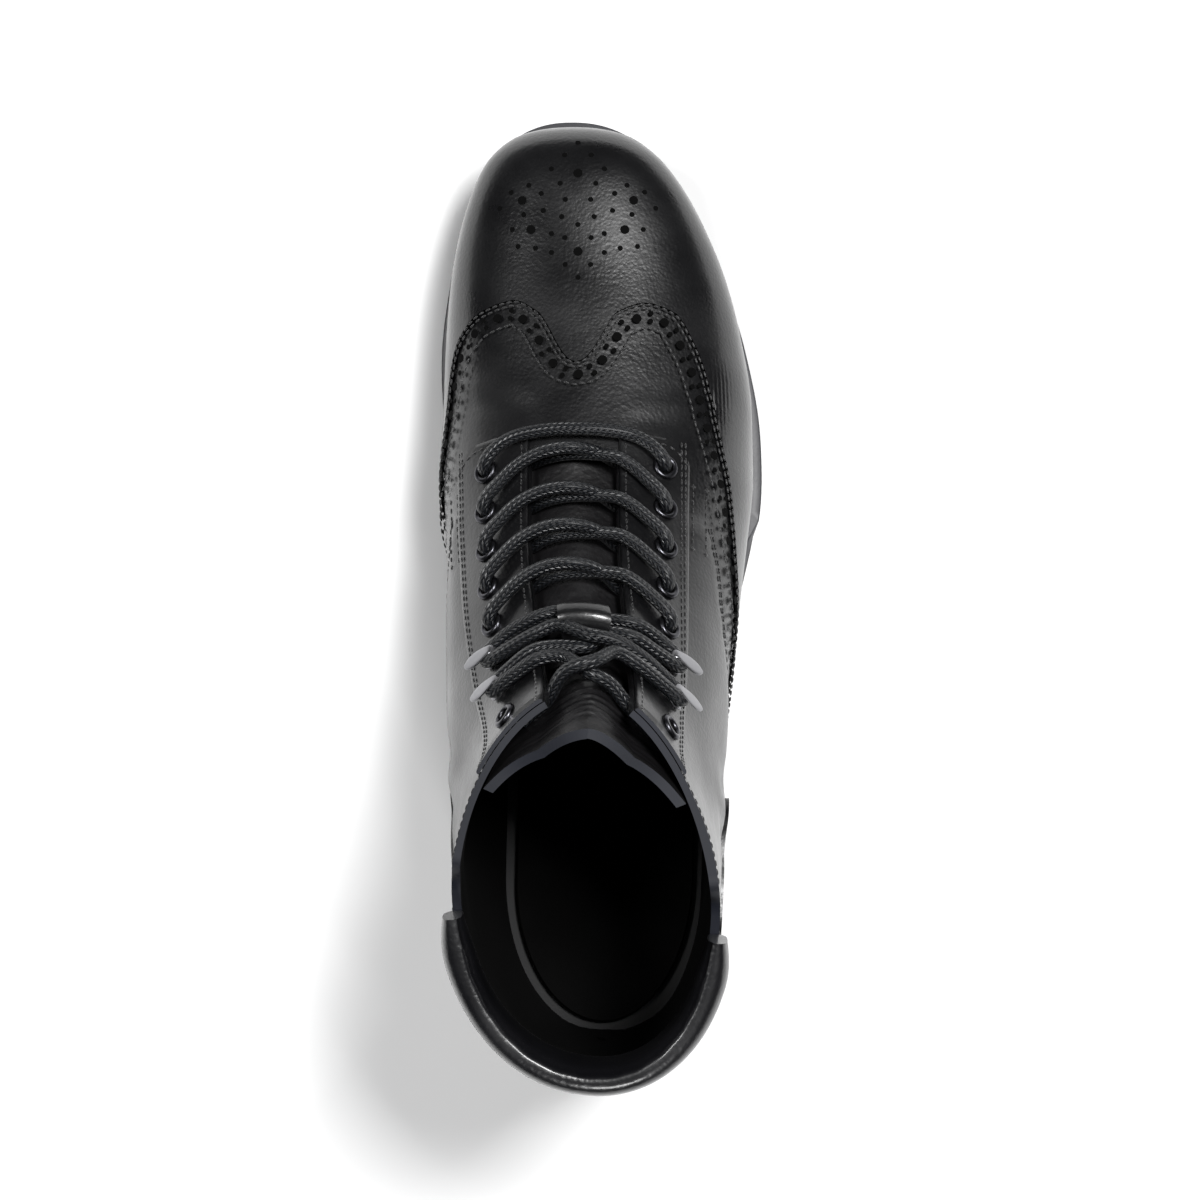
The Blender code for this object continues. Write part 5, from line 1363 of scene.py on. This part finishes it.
def hook_path():
    """The bent strip of a hook from the side: how far outward, how high and what share of the full width."""
    foot = HOOK_LENGTH * 0.42
    neck = -foot * 0.4
    bend = SCENE_HOOK_RISE / 2
    path = [(blend(foot, neck, s), 0.0, blend(0.5, 1.0, math.sin(math.pi * s))) for s in np.linspace(0, 1, 10)]
    for turn in np.linspace(0.08, 0.95, 14) * math.pi:
        path.append((neck - bend * 0.8 * math.sin(turn), bend * (1 - math.cos(turn)), 0.62))
    for share in np.linspace(0.06, 1, 22):
        width = blend(0.62, 1, math.sin(math.pi / 2 * min(1, share / 0.55)))
        width *= math.sqrt(max(0.04, 1 - max(0, (share - 0.5) / 0.5) ** 2.4))
        path.append((neck + share * (HOOK_LENGTH + 0.6), SCENE_HOOK_RISE + share * 0.5, width))
    return np.array(path)


def make_hooks():
    """Four speed hooks: each one strip of brushed plate, bent back over the lace to an oval head."""
    path = hook_path()
    tangent = np.gradient(path[:, :2], axis=0)
    normal = np.stack([tangent[:, 1], -tangent[:, 0]], axis=1)
    normal /= np.linalg.norm(normal, axis=1, keepdims=True)
    spread = np.array([-1, -0.93, -0.75, -0.4, 0, 0.4, 0.75, 0.93, 1])
    round_off = 0.28 * np.abs(spread) ** 6
    for step in range(EYELET_ROWS, EYELET_ROWS + HOOK_ROWS):
        for side, (row, across) in zip(("medial", "lateral"), LACE_PLACES[step]):
            point, out, sideways, _ = frame_at(row, across)
            away = sideways if side == "lateral" else -sideways
            up = np.cross(out, away)
            sheets = []
            for shift, way in ((SCENE_HOOK_PLATE, -1), (0.0, 1)):
                move = shift + way * round_off
                reach = path[:, 0, None] + normal[:, 0, None] * move
                height = path[:, 1, None] + normal[:, 1, None] * move
                half = path[:, 2, None] * (HOOK_WIDTH + 0.4) / 2 * spread
                sheets.append(point + away * reach[..., None] + up * half[..., None]
                              + out * (PANEL_TOP + CLEAR + height)[..., None])
            name = f"hook_{side}_{step - EYELET_ROWS + 1}"
            mesh = panel_mesh("plate_" + name, sheets[0], sheets[1], BRUSHED)
            mesh.materials[1] = BRUSHED
            finish_piece("plate_" + name, mesh, [name], 50)


# A crossing of the lace, from under one facing to the hole in the other. row: rows from that hole.
# distance: from the ridge, positive towards the hole. over and under: how high the cord's middle lies.
Pass = namedtuple("Pass", "row distance over under")
CROSSING = [
    Pass(-0.93, -27, -4.5, -4.5), Pass(-0.92, -20, -4.5, -4.5), Pass(-0.90, -15, -3.8, -4.1),
    Pass(-0.91, -11.5, -1.2, -2.4), Pass(-0.92, -7, 2.0, -0.9), Pass(-0.93, 0, 4.4, 0.3),
    Pass(-0.88, 7, 5.0, 1.9), Pass(-0.78, 13, 4.5, 4.1), Pass(-0.63, 18, 4.1, 4.1),
    Pass(-0.42, 22, 4.2, 4.2), Pass(-0.22, 25.5, 4.7, 4.7), Pass(-0.06, 28, 4.4, 4.4),
    Pass(0.0, 29, 2.6, 2.6), Pass(0.0, 29.1, -0.5, -0.5), Pass(0.02, 28.8, -2.4, -2.4),
]
HOOKED = [
    Pass(-0.40, 22, 3.9, 3.9), Pass(-0.26, 26, 4.3, 4.3), Pass(-0.16, 30, 4.4, 4.4),
    Pass(0.0, 31.5, 4.4, 4.4), Pass(0.16, 30, 4.4, 4.4), Pass(0.26, 26, 4.3, 4.3), Pass(0.24, 20, 3.9, 3.9),
]
LACE_SIDES = 14
LACE_STEP = 1.1


def catmull(points, count=14):
    """A smooth line through every point."""
    points = np.asarray(points, float)
    ends = np.concatenate([[2 * points[0] - points[1]], points, [2 * points[-1] - points[-2]]])
    t = np.linspace(0, 1, count, endpoint=False)[:, None]
    parts = []
    for p0, p1, p2, p3 in zip(ends, ends[1:], ends[2:], ends[3:]):
        parts.append(0.5 * (2 * p1 + (p2 - p0) * t + (2 * p0 - 5 * p1 + 4 * p2 - p3) * t ** 2
                            + (3 * p1 - p0 - 3 * p2 + p3) * t ** 3))
    return np.concatenate(parts + [points[-1:]])


PLACE_ROWS = np.linspace(8.0, TOP_ROW, 140)
PLACE_RUNS = np.linspace(-36, 36, 97)
PLACE_TABLE = np.array([[across_at(row, d if abs(d) > 1e-6 else 0.01) for d in PLACE_RUNS]
                        for row in PLACE_ROWS[::4]])


def laid(route):
    """A route of rows, distances and heights as points of the last, evenly spaced."""
    route = catmull(route)
    rows = np.clip(route[:, 0], 8.0, TOP_ROW - 0.05)
    at = np.clip(np.interp(rows, PLACE_ROWS[::4], np.arange(len(PLACE_ROWS[::4]))), 0, len(PLACE_TABLE) - 1.001)
    low = at.astype(int)
    share = at - low
    first = np.array([np.interp(d, PLACE_RUNS, PLACE_TABLE[i]) for d, i in zip(route[:, 1], low)])
    second = np.array([np.interp(d, PLACE_RUNS, PLACE_TABLE[i + 1]) for d, i in zip(route[:, 1], low)])
    places = blend(first, second, share)
    points = skin(rows, places, route[:, 2])
    run = run_lengths(points)
    at = np.linspace(0, run[-1], max(4, int(run[-1] / LACE_STEP)))
    return np.stack([np.interp(at, run, points[:, k]) for k in range(3)], axis=1)


def cord_mesh(name, routes):
    """Round tubes along routes, with the UV map that the braid follows."""
    builder = bmesh.new()
    layer = builder.loops.layers.uv.new("braid")
    for points in routes:
        for _ in range(3):
            points[1:-1] = (points[:-2] + 2 * points[1:-1] + points[2:]) / 4
        run = run_lengths(points)
        tangents = np.gradient(points, axis=0)
        tangents /= np.linalg.norm(tangents, axis=1, keepdims=True)
        side = np.cross(tangents[0], [0.0, 0.0, 1.0])
        side /= np.linalg.norm(side)
        rings = []
        for point, tangent in zip(points, tangents):
            side = side - tangent * np.dot(side, tangent)
            side /= np.linalg.norm(side)
            up = np.cross(side, tangent)
            turn = 2 * math.pi * np.arange(LACE_SIDES) / LACE_SIDES
            ring = point + (np.cos(turn)[:, None] * side + np.sin(turn)[:, None] * up) * LACE / 2
            rings.append([builder.verts.new(p) for p in metres(ring)])
        for i in range(len(rings) - 1):
            for j in range(LACE_SIDES):
                k = (j + 1) % LACE_SIDES
                face = builder.faces.new([rings[i][j], rings[i][k], rings[i + 1][k], rings[i + 1][j]])
                spots = ((j, i), (j + 1, i), (j + 1, i + 1), (j, i + 1))
                for loop, (around, at) in zip(face.loops, spots):
                    loop[layer].uv = (around / LACE_SIDES, run[at] / LACE_REPEAT)
        builder.faces.new(rings[0][::-1])
        builder.faces.new(rings[-1])
    bmesh.ops.recalc_face_normals(builder, faces=builder.faces)
    mesh = bpy.data.meshes.new(name)
    builder.to_mesh(mesh)
    builder.free()
    mesh.materials.append(LACE_CORD)
    return mesh


def lace_rows(step):
    """The rows of the left and the right hole or hook of a pair."""
    return LACE_PLACES[step][0][0], LACE_PLACES[step][1][0]


def pass_points(passes, row, side, over):
    return [(row + p.row, side * p.distance, p.over if over else p.under) for p in passes]


def make_lace():
    """The waxed lace: a straight bar in front, four crossings through eyelets, then round the hooks."""
    routes = []
    left, right = lace_rows(0)
    bar = [(left, -29, -2.4), (left, -29, 1.5), (left - 0.06, -27.5, 4.6), (left - 0.30, -23, 4.7),
           (left - 0.45, -17, 4.2), (left - 0.50, -8, 4.3), (left - 0.50, 0, 4.4),
           (right - 0.50, 8, 4.3), (right - 0.45, 17, 4.2), (right - 0.30, 23, 4.7),
           (right - 0.06, 27.5, 4.6), (right, 29, 1.5), (right, 29, -2.4)]
    routes.append(laid(bar))
    for step in range(1, EYELET_ROWS):
        left, right = lace_rows(step)
        routes.append(laid(pass_points(CROSSING, left, -1, True)))
        routes.append(laid(pass_points(CROSSING, right, 1, False)))
    first, second, top = lace_rows(EYELET_ROWS), lace_rows(EYELET_ROWS + 1), lace_rows(EYELET_ROWS + 2)
    for side, over in ((-1, True), (1, False)):
        near, far = (0, 1) if side < 0 else (1, 0)
        middle, low = (4.4, 0.4) if over else (0.4, 4.4)
        route = pass_points(CROSSING[:4], first[near], side, over)
        route += [(first[near] - 0.62, side * -6, 2.2 if over else -0.8),
                  (first[near] - 0.55, 0, 4.3 if over else 0.3),
                  (first[near] - 0.52, side * 8, 4.8 if over else 2.2),
                  (first[near] - 0.48, side * 15, 4.2)]
        route += pass_points(HOOKED, first[near], side, over)
        route += [(first[near] + 0.18, side * 13, 4.2), (first[near] + 0.12, side * 6, 4.9 if over else 1.9),
                  (second[far] - 0.80, 0, 5.0 if over else 1.0),
                  (second[far] - 0.74, side * -7, 4.9 if over else 2.1),
                  (second[far] - 0.60, side * -14, 4.2)]
        route += pass_points(HOOKED, second[far], -side, over)
        route += [(second[far] + 0.20, side * -13, 4.2), (second[far] + 0.16, side * -6, 4.6 if over else 1.9),
                  (top[near] - 0.78, 0, 4.2 if over else 0.4), (top[near] - 0.70, side * 7, 1.8 if over else -1.4),
                  (top[near] - 0.60, side * 12, -2.0 if over else -3.4),
                  (top[near] - 0.45, side * 17, -4.4), (top[near] - 0.20, side * 24, -4.5),
                  (top[near] - 0.05, side * 28, -4.3)]
        routes.append(laid(route))
    nodes = [f"lace_row_{k + 1}" for k in range(EYELET_ROWS + HOOK_ROWS + 1)]
    finish_piece("waxed_lace", cord_mesh("waxed_lace", routes), nodes, 80)


FLOOR_SIZE = 6.0


def make_floor():
    """A plain pale studio floor."""
    mesh = bpy.data.meshes.new("studio_floor")
    half = FLOOR_SIZE / 2
    mesh.from_pydata([(-half, -half, 0), (half, -half, 0), (half, half, 0), (-half, half, 0)], [], [(0, 1, 2, 3)])
    material, _, _ = start_material("studio_floor", "#f4f4f4", 0.9)
    mesh.materials.append(material)
    floor = bpy.data.objects.new("studio_floor", mesh)
    bpy.context.collection.objects.link(floor)


# Softboxes. place and size in metres, power in watts. Each looks at the boot.
Softbox = namedtuple("Softbox", "name place size power")
SOFTBOXES = [
    Softbox("key", (0.46, 0.42, 1.45), 0.40, 26.0),
    Softbox("fill", (-0.75, 0.30, 1.35), 0.30, 9.0),
    Softbox("back", (0.15, -1.35, 1.30), 0.45, 13.0),
]


def make_lights():
    for box in SOFTBOXES:
        data = bpy.data.lights.new(box.name, "AREA")
        data.shape = "SQUARE"
        data.size = box.size
        data.energy = box.power
        lamp = bpy.data.objects.new(box.name, data)
        lamp.location = box.place
        lamp.rotation_euler = (-Vector(box.place)).to_track_quat("-Z", "Y").to_euler()
        bpy.context.collection.objects.link(lamp)
    world = bpy.data.worlds.new("studio")
    world.use_nodes = True
    world.node_tree.nodes["Background"].inputs["Color"].default_value = linear("#d8dadd")
    world.node_tree.nodes["Background"].inputs["Strength"].default_value = 0.05
    bpy.context.scene.world = world
    bpy.context.scene.view_settings.view_transform = "Standard"


def make_camera():
    data = bpy.data.cameras.new("camera")
    data.sensor_width = SENSOR
    data.lens = FOCAL_PIXELS / PICTURE * SENSOR
    camera = bpy.data.objects.new("camera", data)
    camera.location = metres(np.array([0, 0, CAMERA_HEIGHT]))
    bpy.context.collection.objects.link(camera)
    bpy.context.scene.camera = camera


make_camera()
make_floor()
make_lights()
make_sole()
make_heel()
make_welt()
make_insole()
make_upper()
make_cap()
make_facings()
make_counter()
make_collar()
make_tongue()
make_keeper()
make_eyelets()
make_hooks()
make_lace()
make_stitches()
make_punches()
